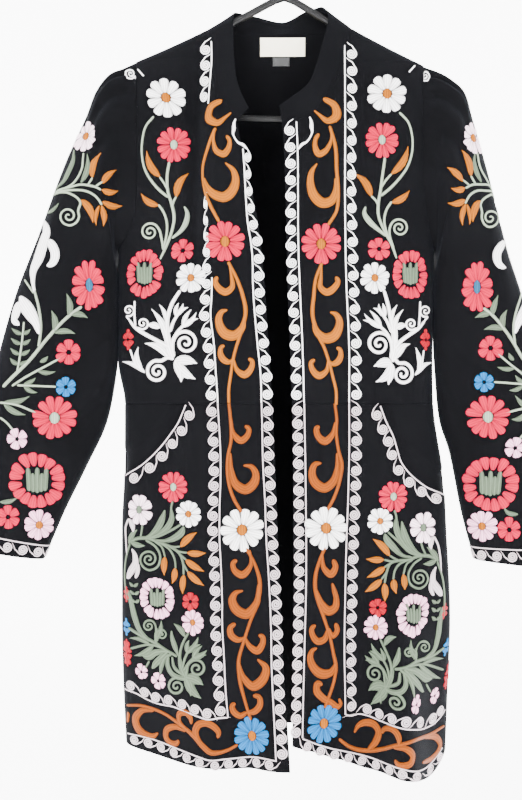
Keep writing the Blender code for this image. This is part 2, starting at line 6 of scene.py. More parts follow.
import bmesh
import bpy
import numpy as np
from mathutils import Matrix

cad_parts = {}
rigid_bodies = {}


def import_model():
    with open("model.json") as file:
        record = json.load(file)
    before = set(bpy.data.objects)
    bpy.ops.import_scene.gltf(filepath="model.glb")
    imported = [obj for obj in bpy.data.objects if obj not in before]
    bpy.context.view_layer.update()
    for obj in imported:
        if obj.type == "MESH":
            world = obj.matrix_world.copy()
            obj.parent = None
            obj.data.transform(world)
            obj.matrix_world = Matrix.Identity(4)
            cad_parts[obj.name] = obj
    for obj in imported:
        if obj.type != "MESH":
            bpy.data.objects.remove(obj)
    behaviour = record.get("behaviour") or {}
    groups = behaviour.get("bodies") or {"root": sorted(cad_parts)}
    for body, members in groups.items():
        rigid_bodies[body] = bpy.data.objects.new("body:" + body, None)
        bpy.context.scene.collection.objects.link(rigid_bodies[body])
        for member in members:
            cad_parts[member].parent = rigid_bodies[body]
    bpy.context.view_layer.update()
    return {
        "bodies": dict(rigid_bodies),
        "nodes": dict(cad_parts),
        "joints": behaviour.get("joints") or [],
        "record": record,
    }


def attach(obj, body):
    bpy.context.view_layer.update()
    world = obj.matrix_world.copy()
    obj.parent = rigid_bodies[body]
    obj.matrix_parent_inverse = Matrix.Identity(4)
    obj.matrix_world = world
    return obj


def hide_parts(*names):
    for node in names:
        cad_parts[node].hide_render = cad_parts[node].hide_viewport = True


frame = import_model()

mm = 0.001
print("frame loaded")


# short tables, and the curve read through them

def table(columns, *rows):
    return dict(zip(columns.split(), np.array(rows, float).T))


def cubicBetween(low, high, lowSlope, highSlope, step, t):
    # from one row's value and slope to the next one's, with t from 0 to 1
    return (low * (1 + 2 * t) * (1 - t) ** 2 + lowSlope * step * t * (1 - t) ** 2
            + high * (3 - 2 * t) * t ** 2 - highSlope * step * (1 - t) * t ** 2)


def smoothTable(xs, ys, at):
    # a cubic through the rows whose slopes are held back so that it doesn't overshoot
    xs, ys = np.asarray(xs, float), np.asarray(ys, float)
    if xs[0] > xs[-1]:
        xs, ys = xs[::-1], ys[::-1]
    steps = np.diff(xs)
    rises = np.diff(ys) / steps
    slopes = np.concatenate([rises[:1], (rises[:-1] + rises[1:]) / 2, rises[-1:]])
    slopes[1:-1][rises[:-1] * rises[1:] <= 0] = 0
    limit = 3 * np.minimum(np.abs(np.append(rises, rises[-1])), np.abs(np.insert(rises, 0, rises[0])))
    slopes = np.clip(slopes, -limit, limit)
    at = np.clip(np.asarray(at, float), xs[0], xs[-1])
    row = np.clip(np.searchsorted(xs, at, side="right") - 1, 0, len(steps) - 1)
    t = (at - xs[row]) / steps[row]
    return cubicBetween(ys[row], ys[row + 1], slopes[row], slopes[row + 1], steps[row], t)


def ramp(t):
    t = np.clip(t, 0, 1)
    return t * t * (3 - 2 * t)


# the jacket's form

cloth = {"thickness": 1.6, "seamGap": 0.3, "collarGap": -0.4, "sleeveGap": 0.5, "underarmStep": 2.1,
         "underarmSpread": 0.3}
arms = {"apexZ": -85.0, "apexRounding": 8.0, "fall": 0.6237, "flattening": 0.000457, "lift": 6.35,
        "tilt": np.radians(1.3)}
body = {"centerX": -8.0, "roundness": 2.5, "armpitZ": -435.0, "waistZ": -640.0, "hemLevel": -1100.0,
        "backNeckZ": -132.0, "shoulderX": {"right": -202.6, "left": 185.3},
        "neckX": {"right": -106.0, "left": 88.0}}
sideReaches = table(
    "z right left",
    (-212, -221, 196), (-260, -226, 199), (-435, -226, 199), (-582, -226, 197), (-640, -217, 198),
    (-741, -218, 212), (-810, -221, 216), (-929, -221, 221), (-1014, -219, 218), (-1120, -214, 214))
bodyDepths = table(
    "z front back",
    (-130, 13, 22), (-158, 21, 27), (-181, 28, 31), (-215, 37, 42), (-260, 45, 48), (-330, 50, 52),
    (-640, 52, 54), (-929, 52, 56), (-1120, 50, 57))
armholeCurve = table(
    "z right left",
    (-230, -198.5, 181.5), (-330, -197.5, 181.5), (-385, -201, 187), (-415, -211, 193), (-435, -226, 199))
frontEdges = table(
    "z right left",
    (-270, -66, -6), (-307, -58, -4), (-402, -38, -1), (-487, -29, 1), (-595, -22, 5), (-702, -16, 8),
    (-924, -8, 8), (-1056, 0, 6), (-1120, 4, 5))
neckCurves = {
    "right": table("x z", (-66, -269), (-82, -236), (-94, -205), (-101, -170)),
    "left": table("x z", (-6, -275), (16, -267), (34, -257), (50, -234), (76, -184))}
pocketMouths = {
    "right": table("x z", (-131, -640), (-142, -664), (-158, -687), (-176, -707), (-195, -722),
                   (-218, -737)),
    "left": table("x z", (118, -640), (133, -672), (142, -699), (155, -723), (175, -743), (198, -757),
                  (213, -765))}
hems = {
    "right": table("x z", (-214, -1096), (-98, -1105), (4, -1104)),
    "left": table("x z", (5, -1071.5), (38, -1086), (70, -1098), (103, -1113), (134, -1115),
                  (156, -1117), (170, -1122), (186, -1127), (196, -1125), (205, -1118), (214, -1106)),
    "back": table("x z", (-214, -1096), (-8, -1088), (214, -1106))}

# folds and creases run from a top to a low end, width is across them and push goes outwards
frontFolds = table(
    "xTop zTop xLow zLow width push fades",
    (-116, -165, -126, -500, 12, -11, 1), (-92, -170, -100, -480, 17, 6, 1),
    (102, -165, 98, -440, 12, -7, 1), (74, -230, 72, -460, 16, 4, 1),
    (-90, -690, -98, -1110, 62, 33, 0), (-10, -780, 3, -1110, 52, 44, 0),
    (140, -800, 156, -1110, 34, 64, 0), (60, -720, 66, -1110, 30, 12, 0),
    (-150, -640, -160, -860, 18, -5, 1),
    (-205, -436, -128, -585, 15, -3.5, 1), (186, -436, 118, -590, 15, -3.5, 1),
    (-172, -250, -184, -455, 13, 2.4, 1), (152, -250, 164, -450, 12, 2.4, 1),
    (-150, -215, -144, -350, 9, -2.0, 1), (132, -220, 124, -350, 9, -1.8, 1),
    (-60, -430, -44, -630, 13, 2.2, 1), (30, -420, 24, -632, 13, 1.8, 1),
    (-186, -470, -196, -640, 10, 2.0, 1), (170, -480, 176, -640, 10, 2.0, 1),
    (-120, -520, -104, -640, 12, -1.8, 1), (88, -520, 80, -640, 12, -1.8, 1),
    (-60, -642, -54, -790, 12, -2.2, 1), (44, -642, 40, -800, 12, -2.0, 1),
    (-100, -642, -104, -760, 9, 1.6, 1), (90, -642, 96, -770, 9, 1.6, 1),
    (-190, -760, -186, -1000, 15, 3.0, 1), (186, -790, 178, -1040, 15, 3.0, 1),
    (-44, -860, -48, -1108, 17, -5.0, 0), (34, -850, 36, -1108, 15, -4.0, 0))
backFolds = table(
    "xTop zTop xLow zLow width push fades",
    (-105, -620, -122, -1110, 34, 20, 0), (-8, -660, -4, -1110, 40, -8, 0),
    (98, -620, 116, -1110, 36, 22, 0), (-92, -190, -110, -480, 16, -6, 1),
    (84, -190, 92, -470, 16, -6, 1),
    (-40, -160, -28, -420, 18, 2.6, 1), (30, -160, 20, -430, 18, 2.6, 1),
    (-196, -440, -110, -560, 16, -3.5, 1), (176, -440, 96, -560, 16, -3.5, 1),
    (-150, -240, -164, -420, 12, 2.6, 1), (138, -240, 150, -420, 12, 2.6, 1),
    (-120, -470, -92, -640, 16, -2.6, 1), (110, -470, 84, -640, 16, -2.6, 1),
    (-16, -480, 6, -660, 20, 2.4, 1), (60, -500, 52, -700, 15, 2.0, 1),
    (-70, -520, -60, -720, 15, 2.2, 1), (-170, -700, -176, -1050, 18, 4, 1),
    (168, -700, 174, -1050, 18, 4, 1), (54, -820, 62, -1108, 20, -6, 0),
    (-66, -820, -70, -1108, 20, -6, 0))


def armHeight(x):
    return arms["apexZ"] - arms["fall"] * np.hypot(x, arms["apexRounding"]) + arms["flattening"] * x * x


def ridgeLine(side):
    # the middle of the cloth a little above the hanger's arm, from the neck outwards
    x = np.linspace(60, 232, 400)
    slope = np.gradient(armHeight(x), x)
    across = np.hypot(slope, 1)
    outX = (-1 if side == "right" else 1) * (x - slope / across * arms["lift"])
    outZ = armHeight(x) + arms["lift"] / across
    c, s = np.cos(arms["tilt"]), np.sin(arms["tilt"])
    return outX * c + outZ * s, -outX * s + outZ * c


ridges = {side: ridgeLine(side) for side in ("right", "left")}


def ridgeZ(side, x):
    lineX, lineZ = ridges[side]
    order = np.argsort(lineX)
    return float(np.interp(x, lineX[order], lineZ[order]))


def ridgeX(side, z):
    lineX, lineZ = ridges[side]
    return np.interp(z, lineZ[::-1], lineX[::-1])


shoulderZ = {side: ridgeZ(side, body["shoulderX"][side]) for side in ridges}
neckZ = {side: ridgeZ(side, body["neckX"][side]) for side in ridges}


def belowShoulder(rows, side, z):
    xs = np.insert(rows[side], 0, body["shoulderX"][side])
    return smoothTable(np.insert(rows["z"], 0, shoulderZ[side]), xs, z)


def reachAt(side, z):
    # where the loop at height z ends at the side
    return np.where(z > shoulderZ[side], ridgeX(side, z), belowShoulder(sideReaches, side, z))


def sideAt(side, z):
    # a panel's side edge: shoulder seam, armhole, side seam
    inArmhole = (z < shoulderZ[side]) & (z > body["armpitZ"])
    return np.where(inArmhole, belowShoulder(armholeCurve, side, z), reachAt(side, z))


def foldsAt(folds, x, z):
    # each fold is a bell curve across a leaning line, which grows and fades along it
    total = np.zeros(np.shape(x))
    for xTop, zTop, xLow, zLow, width, push, fades in zip(*folds.values()):
        t = (zTop - z) / (zTop - zLow)
        line = xTop + (xLow - xTop) * t
        strength = ramp(t / 0.3) * ramp((1 - t) / 0.35) if fades else ramp(t)
        total += push * strength * np.exp(-((x - line) / width) ** 2)
    return total


def bodyY(face, x, z):
    # a superellipse in plan at each height, with the folds added to its depth
    center = body["centerX"]
    reach = np.where(x < center, reachAt("right", z), reachAt("left", z))
    t = np.clip((x - center) / (reach - center), 0, 1)
    depth = smoothTable(bodyDepths["z"], bodyDepths[face], z)
    folds = foldsAt(frontFolds if face == "front" else backFolds, x, z)
    power = body["roundness"]
    away = depth * (1 - t ** power) ** (1 / power) + folds * (1 - t ** 6)
    return -away if face == "front" else away


def bodyNormal(points, face, step=0.5):
    # the way out of the body's surface, from points close by
    x, z = points[..., 0], points[..., 2]
    slopeX = (bodyY(face, x + step, z) - bodyY(face, x - step, z)) / (2 * step)
    slopeZ = (bodyY(face, x, z + step) - bodyY(face, x, z - step)) / (2 * step)
    normal = np.stack([-slopeX, np.ones_like(x), -slopeZ], axis=-1)
    normal /= np.linalg.norm(normal, axis=-1, keepdims=True)
    return -normal if face == "front" else normal


def turnAt(side, x, z):
    center = body["centerX"]
    return np.arcsin(np.clip((x - center) / (reachAt(side, z) - center), -1, 1))


def xAt(side, turn, z):
    center = body["centerX"]
    return center + (reachAt(side, z) - center) * np.sin(turn)


def neckCurve(side, t):
    # the front neck seam from the front edge, 0, to the shoulder seam, 1
    x = np.append(neckCurves[side]["x"], body["neckX"][side])
    z = np.append(neckCurves[side]["z"], neckZ[side])
    spans = np.hypot(np.diff(x), np.diff(z))
    along = np.concatenate([[0], np.cumsum(spans)]) / spans.sum()
    return smoothTable(along, x, t), smoothTable(along, z, t)


def frontEdgeTurn(side, z):
    return turnAt(side, smoothTable(frontEdges["z"], frontEdges[side], z), z)


def acrossShare(side, x, z):
    # how far across the front a point lies, 0 at its edge and 1 at its side
    edge = frontEdgeTurn(side, z)
    return (turnAt(side, x, z) - edge) / (turnAt(side, sideAt(side, z), z) - edge)


def frontPoints(side, share, z):
    edge = frontEdgeTurn(side, z)
    x = xAt(side, edge + (turnAt(side, sideAt(side, z), z) - edge) * share, z)
    return np.stack([x, bodyY("front", x, z), z], axis=-1)


def hemAt(name, x):
    return smoothTable(hems[name]["x"], hems[name]["z"], x)


def mouthAt(side, x):
    order = np.argsort(pocketMouths[side]["x"])
    return np.interp(x, pocketMouths[side]["x"][order], pocketMouths[side]["z"][order])


# grids of the cut pieces: rows run down, columns across, and the last steps at an edge are short

grids = {"edgeSteps": (0.3, 1.1), "edgeThickness": (0.35, 0.8), "tuck": (0.7, 1.3)}
# rows down the shoulder, the armhole and below it, columns across, and the piece's rough size
upperCounts = {"rows": (22, 56, 52), "height": 400, "columns": 84, "width": 190}
skirtCounts = {"rows": 124, "height": 440, "columns": 88, "width": 220}
pocketCounts = {"rows": 44, "height": 130, "columns": 46, "width": 120}
backCounts = {"rows": (18, 46, 32), "skirtRows": 70, "height": 900, "columns": 53, "width": 230}


def shares(count, size):
    # even steps from 0 to 1, with short ones at both ends that round the cloth's edge over
    close = np.array((0,) + grids["edgeSteps"]) / size
    return np.concatenate([close, np.linspace(0, 1, count + 1)[1:-1], 1 - close[::-1]])


def edgeThickness(rows, columns, roundRows=True, roundColumns=True):
    thin = np.array(grids["edgeThickness"])
    scale = np.ones((rows, columns))
    for place, value in enumerate(thin):
        if roundRows:
            scale[[place, -1 - place]] = np.minimum(scale[[place, -1 - place]], value)
        if roundColumns:
            scale[:, [place, -1 - place]] = np.minimum(scale[:, [place, -1 - place]], value)
    return scale


def armholeLevels(side, count):
    # heights down the armhole by a cosine, so that they close up at the shoulder and the armpit
    top, low = shoulderZ[side], body["armpitZ"]
    return (top + low) / 2 + (top - low) / 2 * np.cos(np.linspace(0, np.pi, count + 1))


def panelLevels(side, low, shoulderCount, armholeCount, lowCount):
    return np.concatenate([
        np.linspace(neckZ[side], shoulderZ[side], shoulderCount + 1)[:-1],
        armholeLevels(side, armholeCount)[:-1],
        np.linspace(body["armpitZ"], low, lowCount + 1)])


def withEdgeRows(rows, size):
    near = np.array(grids["edgeSteps"]) / size * (rows[-1] - rows[0])
    return np.concatenate([rows[:1], rows[0] + near, rows[1:-1], rows[-1] - near[::-1], rows[-1:]])


def upperFrontGrid(side):
    # the top edge is the neck seam and every row below it closes in on the level waist seam
    levels = panelLevels(side, body["waistZ"] + cloth["seamGap"] / 2, *upperCounts["rows"])
    rows = withEdgeRows(levels, upperCounts["height"])
    down = (rows[0] - rows) / (rows[0] - rows[-1])
    share = shares(upperCounts["columns"], upperCounts["width"])
    seamX, seamZ = neckCurve(side, np.linspace(0, 1, 200))
    seamShare = acrossShare(side, seamX, seamZ)
    seamShare[-1] = 1
    top = np.interp(share, seamShare, seamZ)
    z = top + (rows[-1] - top) * down[:, None]
    return frontPoints(side, np.broadcast_to(share, z.shape), z)


def skirtFrontGrid(side):
    # from the waist seam and then the pocket's mouth down to the hem
    mouth = pocketMouths[side]
    mouthShare = acrossShare(side, mouth["x"], mouth["z"])
    mouthShare[-1] = 1
    share = shares(skirtCounts["columns"], skirtCounts["width"])
    top = smoothTable(mouthShare, mouth["z"], share) - cloth["seamGap"] / 2
    lowX = frontPoints(side, share, np.full_like(share, body["hemLevel"]))[:, 0]
    low = hemAt(side, lowX)
    z = top + (low - top) * shares(skirtCounts["rows"], skirtCounts["height"])[:, None]
    return frontPoints(side, np.broadcast_to(share, z.shape), z)


pocket = {"overlap": 40.0, "underlap": 24.0, "step": 14.0, "lead": 39.0, "inset": 3.0}


def pocketGrid(side):
    # level with its neighbours above the mouth, then stepping in behind the skirt's front
    sign = -1 if side == "right" else 1
    start = np.array(pocketMouths[side]["x"][0] - sign * pocket["underlap"])
    first = turnAt(side, start, np.array(body["waistZ"]))
    turn = first + (np.pi / 2 - first) * shares(pocketCounts["columns"], pocketCounts["width"])
    low = mouthAt(side, xAt(side, turn, np.full_like(turn, body["waistZ"]))) - pocket["overlap"]
    top = body["waistZ"] - cloth["seamGap"] / 2
    z = top + (low - top) * shares(pocketCounts["rows"], pocketCounts["height"])[:, None]
    x = xAt(side, np.broadcast_to(turn, z.shape), z)
    points = np.stack([x, bodyY("front", x, z), z], axis=-1)
    inset = pocket["inset"] * ramp((mouthAt(side, x) + pocket["lead"] - z) / pocket["step"])
    return points - inset[..., None] * bodyNormal(points, "front")


def backGrid():
    # both halves from side seam to side seam, from the neck seam down to the hem
    halves = []
    for side in ("right", "left"):
        upper = panelLevels(side, body["waistZ"], *backCounts["rows"])
        lower = np.linspace(body["waistZ"], body["hemLevel"], backCounts["skirtRows"])
        rows = withEdgeRows(np.concatenate([upper[:-1], lower]), backCounts["height"])
        close = 1 - np.array(grids["edgeSteps"])[::-1] / backCounts["width"]
        share = np.concatenate([np.linspace(0, 1, backCounts["columns"])[:-1], close, [1]])
        reach = body["neckX"][side] - body["centerX"]
        topX = body["centerX"] + reach * np.sin(share * np.pi / 2)
        top = body["backNeckZ"] + (neckZ[side] - body["backNeckZ"]) * ramp((topX - body["centerX"]) / reach)
        down = np.minimum((rows[0] - rows) / (rows[0] - body["waistZ"]), 1)[:, None]
        z = top + (body["waistZ"] - top) * down
        skirt = rows < body["waistZ"]
        below = ((body["waistZ"] - rows[skirt]) / (body["waistZ"] - body["hemLevel"]))[:, None]
        edge = reachAt(side, np.array(body["hemLevel"]))
        low = hemAt("back", body["centerX"] + (edge - body["centerX"]) * np.sin(share * np.pi / 2))
        z[skirt] = body["waistZ"] + (low - body["waistZ"]) * below
        x = xAt(side, turnAt(side, sideAt(side, z), z) * share, z)
        # the side seam's edge is tucked under the front's, so that no light comes through
        tuck = ramp((share - 0.985) / 0.015) * (z < body["armpitZ"])
        y = bodyY("back", x, z) - tuck * grids["tuck"][1]
        x = x - tuck * np.sign(x) * grids["tuck"][0]
        halves.append(np.stack([x, y, z], axis=-1))
    return np.concatenate([halves[0][:, ::-1], halves[1][:, 1:]], axis=1)


# sleeves: rings from the gathered head to the cuff

sleeve = {"gathers": 4, "gatherHeight": 4.0, "gatherStart": np.radians(12), "gatherEnd": np.radians(112),
          "fineGathers": 9, "fineHeight": 1.3, "fullness": 0.86, "seamFades": (0.8, 1.6, 1.6),
          "ringCount": 96, "rowLength": 60, "radius": 48}
sleeveRows = {
    "right": table(
        "outerX outerZ innerX innerZ depth y",
        (-202.6, -181, -227.6, -435, 32, 0), (-219, -188, -229.6, -440, 37, 0),
        (-237, -196, -230.2, -446, 41, 0), (-255, -219, -229, -456, 42, 0),
        (-269, -254, -226.6, -470, 41, 0), (-298, -319, -226, -500, 37, -2),
        (-333, -414, -226.2, -550, 33, -4), (-363, -493, -229.6, -600, 30, -6),
        (-387, -578, -242, -665, 28, -8), (-407, -660, -268, -722, 27, -10),
        (-426, -745, -298, -783, 25, -10), (-439, -830, -325.7, -847.7, 24, -10)),
    "left": table(
        "outerX outerZ innerX innerZ depth y",
        (185.3, -182, 200.8, -435, 30, 0), (201, -190, 202.6, -440, 35, 0),
        (221, -202, 203.2, -446, 39, 0), (239, -219, 202, -455, 40, 0),
        (250, -254, 199.8, -468, 40, 0), (271, -331, 199.2, -505, 36, -2),
        (295, -425, 199.4, -552, 32, -4), (318, -500, 201.8, -602, 30, -6),
        (343, -588, 207, -661, 28, -8), (358, -670, 221, -708, 27, -10),
        (366, -765, 236, -784, 25, -10), (369, -861, 253, -848, 24, -10))}
# a crease runs between two places, each a row of the sleeve and an angle round it: 0 is the outer
# edge, 90 the front, 180 the inner edge, 270 the back
sleeveCreases = table(
    "rowTop angleTop rowLow angleLow width push",
    (6.1, 150, 7.6, 96, 9, -5.0), (6.6, 160, 8.4, 112, 8, 4.0), (5.4, 140, 6.6, 80, 10, -3.0),
    (7.2, 158, 9.0, 104, 10, -4.0), (8.4, 60, 9.2, 140, 11, 2.2), (3.4, 150, 5.6, 120, 11, -3.0),
    (2.6, 128, 5.0, 96, 13, 3.0), (9.6, 120, 10.8, 60, 10, -2.0), (4.6, 40, 7.4, 56, 14, 2.4),
    (6.2, 200, 7.8, 250, 9, -5.0), (6.8, 196, 8.6, 244, 9, 4.0), (5.2, 210, 6.6, 270, 11, -3.0),
    (7.6, 205, 9.2, 262, 10, -3.5), (3.2, 205, 5.4, 240, 12, 3.0), (9.4, 240, 10.8, 300, 11, -2.0),
    (4.8, 320, 7.6, 300, 14, 2.4))


def armholeRing(side, angles):
    # the sleeve's seam just outside the armhole: 0 is the shoulder, a half turn the armpit
    top, low = shoulderZ[side], body["armpitZ"]
    z = (top + low) / 2 + (top - low) / 2 * np.cos(angles)
    x = belowShoulder(armholeCurve, side, z)
    onFront = angles <= np.pi
    y = np.where(onFront, bodyY("front", x, z), bodyY("back", x, z))
    seam = np.stack([x, y, z], axis=-1)
    normals = np.where(onFront[:, None], bodyNormal(seam, "front"), bodyNormal(seam, "back"))
    along = np.roll(seam, -1, axis=0) - np.roll(seam, 1, axis=0)
    away = np.cross(along, normals)
    away /= np.linalg.norm(away, axis=-1, keepdims=True)
    sign = -1 if side == "right" else 1
    away *= np.sign(away[len(angles) // 4, 0]) * sign
    under = np.exp(-((angles - np.pi) / cloth["underarmSpread"]) ** 2)[:, None]
    lift = np.array([sign * cloth["underarmStep"], 0, cloth["underarmStep"]])
    return seam + away * cloth["sleeveGap"] * (1 - under) + lift * under, normals


def ringNormals(points, flip):
    # the cross product of the steps round a ring and down the sleeve
    wide = np.concatenate([points[:, -1:], points, points[:, :1]], axis=1)
    normals = np.cross(wide[:, 2:] - wide[:, :-2], np.gradient(points, axis=0))
    normals /= np.maximum(np.linalg.norm(normals, axis=-1, keepdims=True), 1e-9)
    return -normals if flip else normals


def sleeveGrid(side, stationCount=126, ringCount=None):
    rows = sleeveRows[side]
    angles = np.linspace(0, 2 * np.pi, ringCount or sleeve["ringCount"], endpoint=False)
    head = np.array([0, 0.02, 0.06])
    stations = np.concatenate([head, np.linspace(0, 1, stationCount)[1:-1] ** 1.25 * 11,
                               [10.95, 10.985, 11]])
    stations = np.sort(np.where((stations > 0.06) & (stations < 0.1), 0.1, stations))
    at = {name: smoothTable(np.arange(12), rows[name], stations)[:, None] for name in rows}
    c = np.sign(np.cos(angles)) * np.abs(np.cos(angles)) ** sleeve["fullness"]
    s = np.sign(np.sin(angles)) * np.abs(np.sin(angles)) ** sleeve["fullness"]
    x = (at["outerX"] + at["innerX"]) / 2 + (at["outerX"] - at["innerX"]) / 2 * c
    z = (at["outerZ"] + at["innerZ"]) / 2 + (at["outerZ"] - at["innerZ"]) / 2 * c
    points = np.stack([x, at["y"] - at["depth"] * s, z], axis=-1)
    ring, seamNormals = armholeRing(side, angles)
    fade = 1 - ramp(stations[:, None] / np.array(sleeve["seamFades"]))
    points += (ring - points[0]) * fade[:, None]
    # the gathers are waves round the head, a coarse set and a fine one, that die out down the sleeve
    start, end = sleeve["gatherStart"], sleeve["gatherEnd"]
    part = (np.minimum(angles, 2 * np.pi - angles) - start) / (end - start)
    window = ramp(part / 0.1) * (1 - ramp(part * 3 - 2))
    down = stations[:, None]
    rise = ramp(down / 0.8) * (1 - ramp((down - 1.5) / 3.5))
    fineRise = ramp(down / 0.15) * (1 - ramp((down - 0.5) / 1.6))
    coarse = sleeve["gatherHeight"] * np.cos(2 * np.pi * sleeve["gathers"] * part)
    fine = sleeve["fineHeight"] * np.cos(2 * np.pi * sleeve["fineGathers"] * part + 1)
    waves = coarse * window * rise + fine * window * fineRise
    creases = np.zeros_like(waves)
    for rowTop, angleTop, rowLow, angleLow, width, push in zip(*sleeveCreases.values()):
        # a bell curve across the line between its two places, measured in about millimetres
        a = np.array([rowTop * sleeve["rowLength"], np.radians(angleTop) * sleeve["radius"]])
        b = np.array([rowLow * sleeve["rowLength"], np.radians(angleLow) * sleeve["radius"]])
        run = (b - a) / np.linalg.norm(b - a)
        u, v = down * sleeve["rowLength"] - a[0], angles * sleeve["radius"] - a[1]
        t = (u * run[0] + v * run[1]) / np.linalg.norm(b - a)
        bell = np.exp(-((u * run[1] - v * run[0]) / width) ** 2)
        creases += push * ramp(t / 0.4) * ramp((1 - t) / 0.4) * bell
    normals = ringNormals(points, side == "right")
    points += normals * (waves + creases)[..., None]
    normals = ringNormals(points, side == "right")
    normals[0] = seamNormals
    return points, normals


# the collar stands on the neck seam; seam counts 0 to 1 up the right front, 1 to 2 round the back
# and 2 to 3 down the left front
collarTop = table(
    "seam x y z",
    (0.0, -49.6, -50, -254), (0.3, -61, -43, -228), (0.55, -68, -33, -200), (0.8, -70.5, -20, -155),
    (0.93, -71, -10, -124), (1.05, -68, 6, -108), (1.3, -42, 28, -105), (1.5, -5, 40, -109),
    (1.75, 28, 28, -98.5), (1.95, 47, 5, -100.5), (2.07, 56.5, -11, -118), (2.3, 50.6, -22, -150),
    (2.55, 38, -35, -195), (2.72, 29, -42, -218), (3.0, -9.8, -51, -251))


def collarGrid(frontRows, backRow):
    runs = [frontRows["right"], backRow, frontRows["left"][::-1]]
    counts, seam, normals = [], [], []
    for start, run in enumerate(runs):
        steps = np.linalg.norm(np.diff(run, axis=0), axis=-1)
        keep = [slice(None, -1), slice(None), slice(1, None)][start]
        counts.append((start + np.concatenate([[0], np.cumsum(steps)]) / steps.sum())[keep])
        seam.append(run[keep])
        normals.append(bodyNormal(run, "back" if start == 1 else "front")[keep])
    count, seam, seamNormals = (np.concatenate(part) for part in (counts, seam, normals))
    top = np.stack([smoothTable(collarTop["seam"], collarTop[name], count) for name in "xyz"], axis=-1)
    rise = top - seam
    low = seam + rise / np.linalg.norm(rise, axis=-1, keepdims=True) * cloth["collarGap"]
    points = low + (top - low) * shares(14, 40)[:, None, None]
    across, down = np.gradient(points, axis=1), np.gradient(points, axis=0)
    normals = -np.cross(across, down)
    normals /= np.maximum(np.linalg.norm(normals, axis=-1, keepdims=True), 1e-9)
    normals[0] = seamNormals
    return points, normals


# meshes

def addMesh(name, points, faces, uv=None, color=None):
    mesh = bpy.data.meshes.new(name)
    mesh.vertices.add(len(points))
    mesh.vertices.foreach_set("co", (points * mm).ravel())
    mesh.loops.add(faces.size)
    mesh.loops.foreach_set("vertex_index", faces.ravel())
    mesh.polygons.add(len(faces))
    mesh.polygons.foreach_set("loop_start", np.arange(0, faces.size, 4))
    mesh.update(calc_edges=True)
    if uv is not None:
        mesh.uv_layers.new(name="clothUV").data.foreach_set("uv", uv[faces.ravel()].ravel())
    if color is not None:
        # the thread's colour at each point, with its painted edge shade
        layer = mesh.color_attributes.new("threadColorAndEdgeShade", "FLOAT_COLOR", "POINT")
        layer.data.foreach_set("color", np.column_stack([color, np.ones(len(color))]).ravel())
    mesh.validate()
    mesh.shade_smooth()
    thing = bpy.data.objects.new(name, mesh)
    bpy.context.scene.collection.objects.link(thing)
    return thing


def lengthsAlong(points, axis):
    steps = np.linalg.norm(np.diff(points, axis=axis), axis=-1)
    start = np.zeros_like(np.take(steps, [0], axis=axis))
    return np.concatenate([start, np.cumsum(steps, axis=axis)], axis=axis)


def addWall(name, middle, normals, thickness, material, loops=False, keep=None, scale=None):
    # the middle surface pushed half the thickness to each side, closed round its rims
    rows, columns = middle.shape[:2]
    if loops:
        middle = np.concatenate([middle, middle[:, :1]], axis=1)
        normals = np.concatenate([normals, normals[:, :1]], axis=1)
        columns += 1
    if scale is None:
        scale = edgeThickness(rows, columns, True, not loops)
    half = thickness / 2 * scale[..., None]
    points = np.concatenate([(middle + normals * half).reshape(-1, 3),
                             (middle - normals * half).reshape(-1, 3)])
    if keep:
        points = keep(points)
    uv = np.stack([lengthsAlong(middle, 1), -lengthsAlong(middle, 0)], axis=-1).reshape(-1, 2) / 100
    uv = np.concatenate([uv, uv])
    number = np.arange(rows * columns).reshape(rows, columns)
    front = np.stack([number[:-1, :-1], number[:-1, 1:], number[1:, 1:], number[1:, :-1]],
                     axis=-1).reshape(-1, 4)
    size = rows * columns
    faces = [front, front[:, ::-1] + size]
    rims = [number[0], number[-1][::-1]]
    if not loops:
        rims += [number[::-1, 0], number[:, -1]]
    for rim in rims:
        faces.append(np.stack([rim[1:], rim[:-1], rim[:-1] + size, rim[1:] + size], axis=-1))
    faces = np.concatenate(faces)
    row, place = rows // 2, columns // 2
    corner = middle[row, place]
    facing = np.cross(middle[row, place + 1] - corner, middle[row + 1, place] - corner)
    if facing @ normals[row, place] < 0:
        faces = faces[:, ::-1]
    thing = addMesh(name, points, np.ascontiguousarray(faces), uv)
    if loops:
        weldRings(thing)
    thing.data.materials.append(material)
    area = triangleArea(middle)
    print(f"{name}: {len(faces) * 2} triangles, cloth area {area:.4f} m2")
    return thing


def weldRings(thing):
    # the last column of a ring lies on the first, and the two become one
    work = bmesh.new()
    work.from_mesh(thing.data)
    bmesh.ops.remove_doubles(work, verts=work.verts, dist=1e-7)
    work.to_mesh(thing.data)
    work.free()
    thing.data.shade_smooth()


def triangleArea(points):
    a, b, c, d = points[:-1, :-1], points[:-1, 1:], points[1:, 1:], points[1:, :-1]
    halves = [np.linalg.norm(np.cross(b - a, c - a), axis=-1),
              np.linalg.norm(np.cross(c - a, d - a), axis=-1)]
    return float(sum(part.sum() for part in halves)) / 2 * mm * mm


def keepBetween(front=None, back=None, above=None, below=None):
    # holds points on their own side of a seam
    def keep(points):
        if front:
            points[:, 1] = np.minimum(points[:, 1], -cloth["seamGap"] / 2)
        if back:
            points[:, 1] = np.maximum(points[:, 1], cloth["seamGap"] / 2)
        if above:
            points[:, 2] = np.maximum(points[:, 2], body["waistZ"] + cloth["seamGap"] / 2)
        if below:
            points[:, 2] = np.minimum(points[:, 2], body["waistZ"] - cloth["seamGap"] / 2)
        return points
    return keep


# shader maths written as expressions

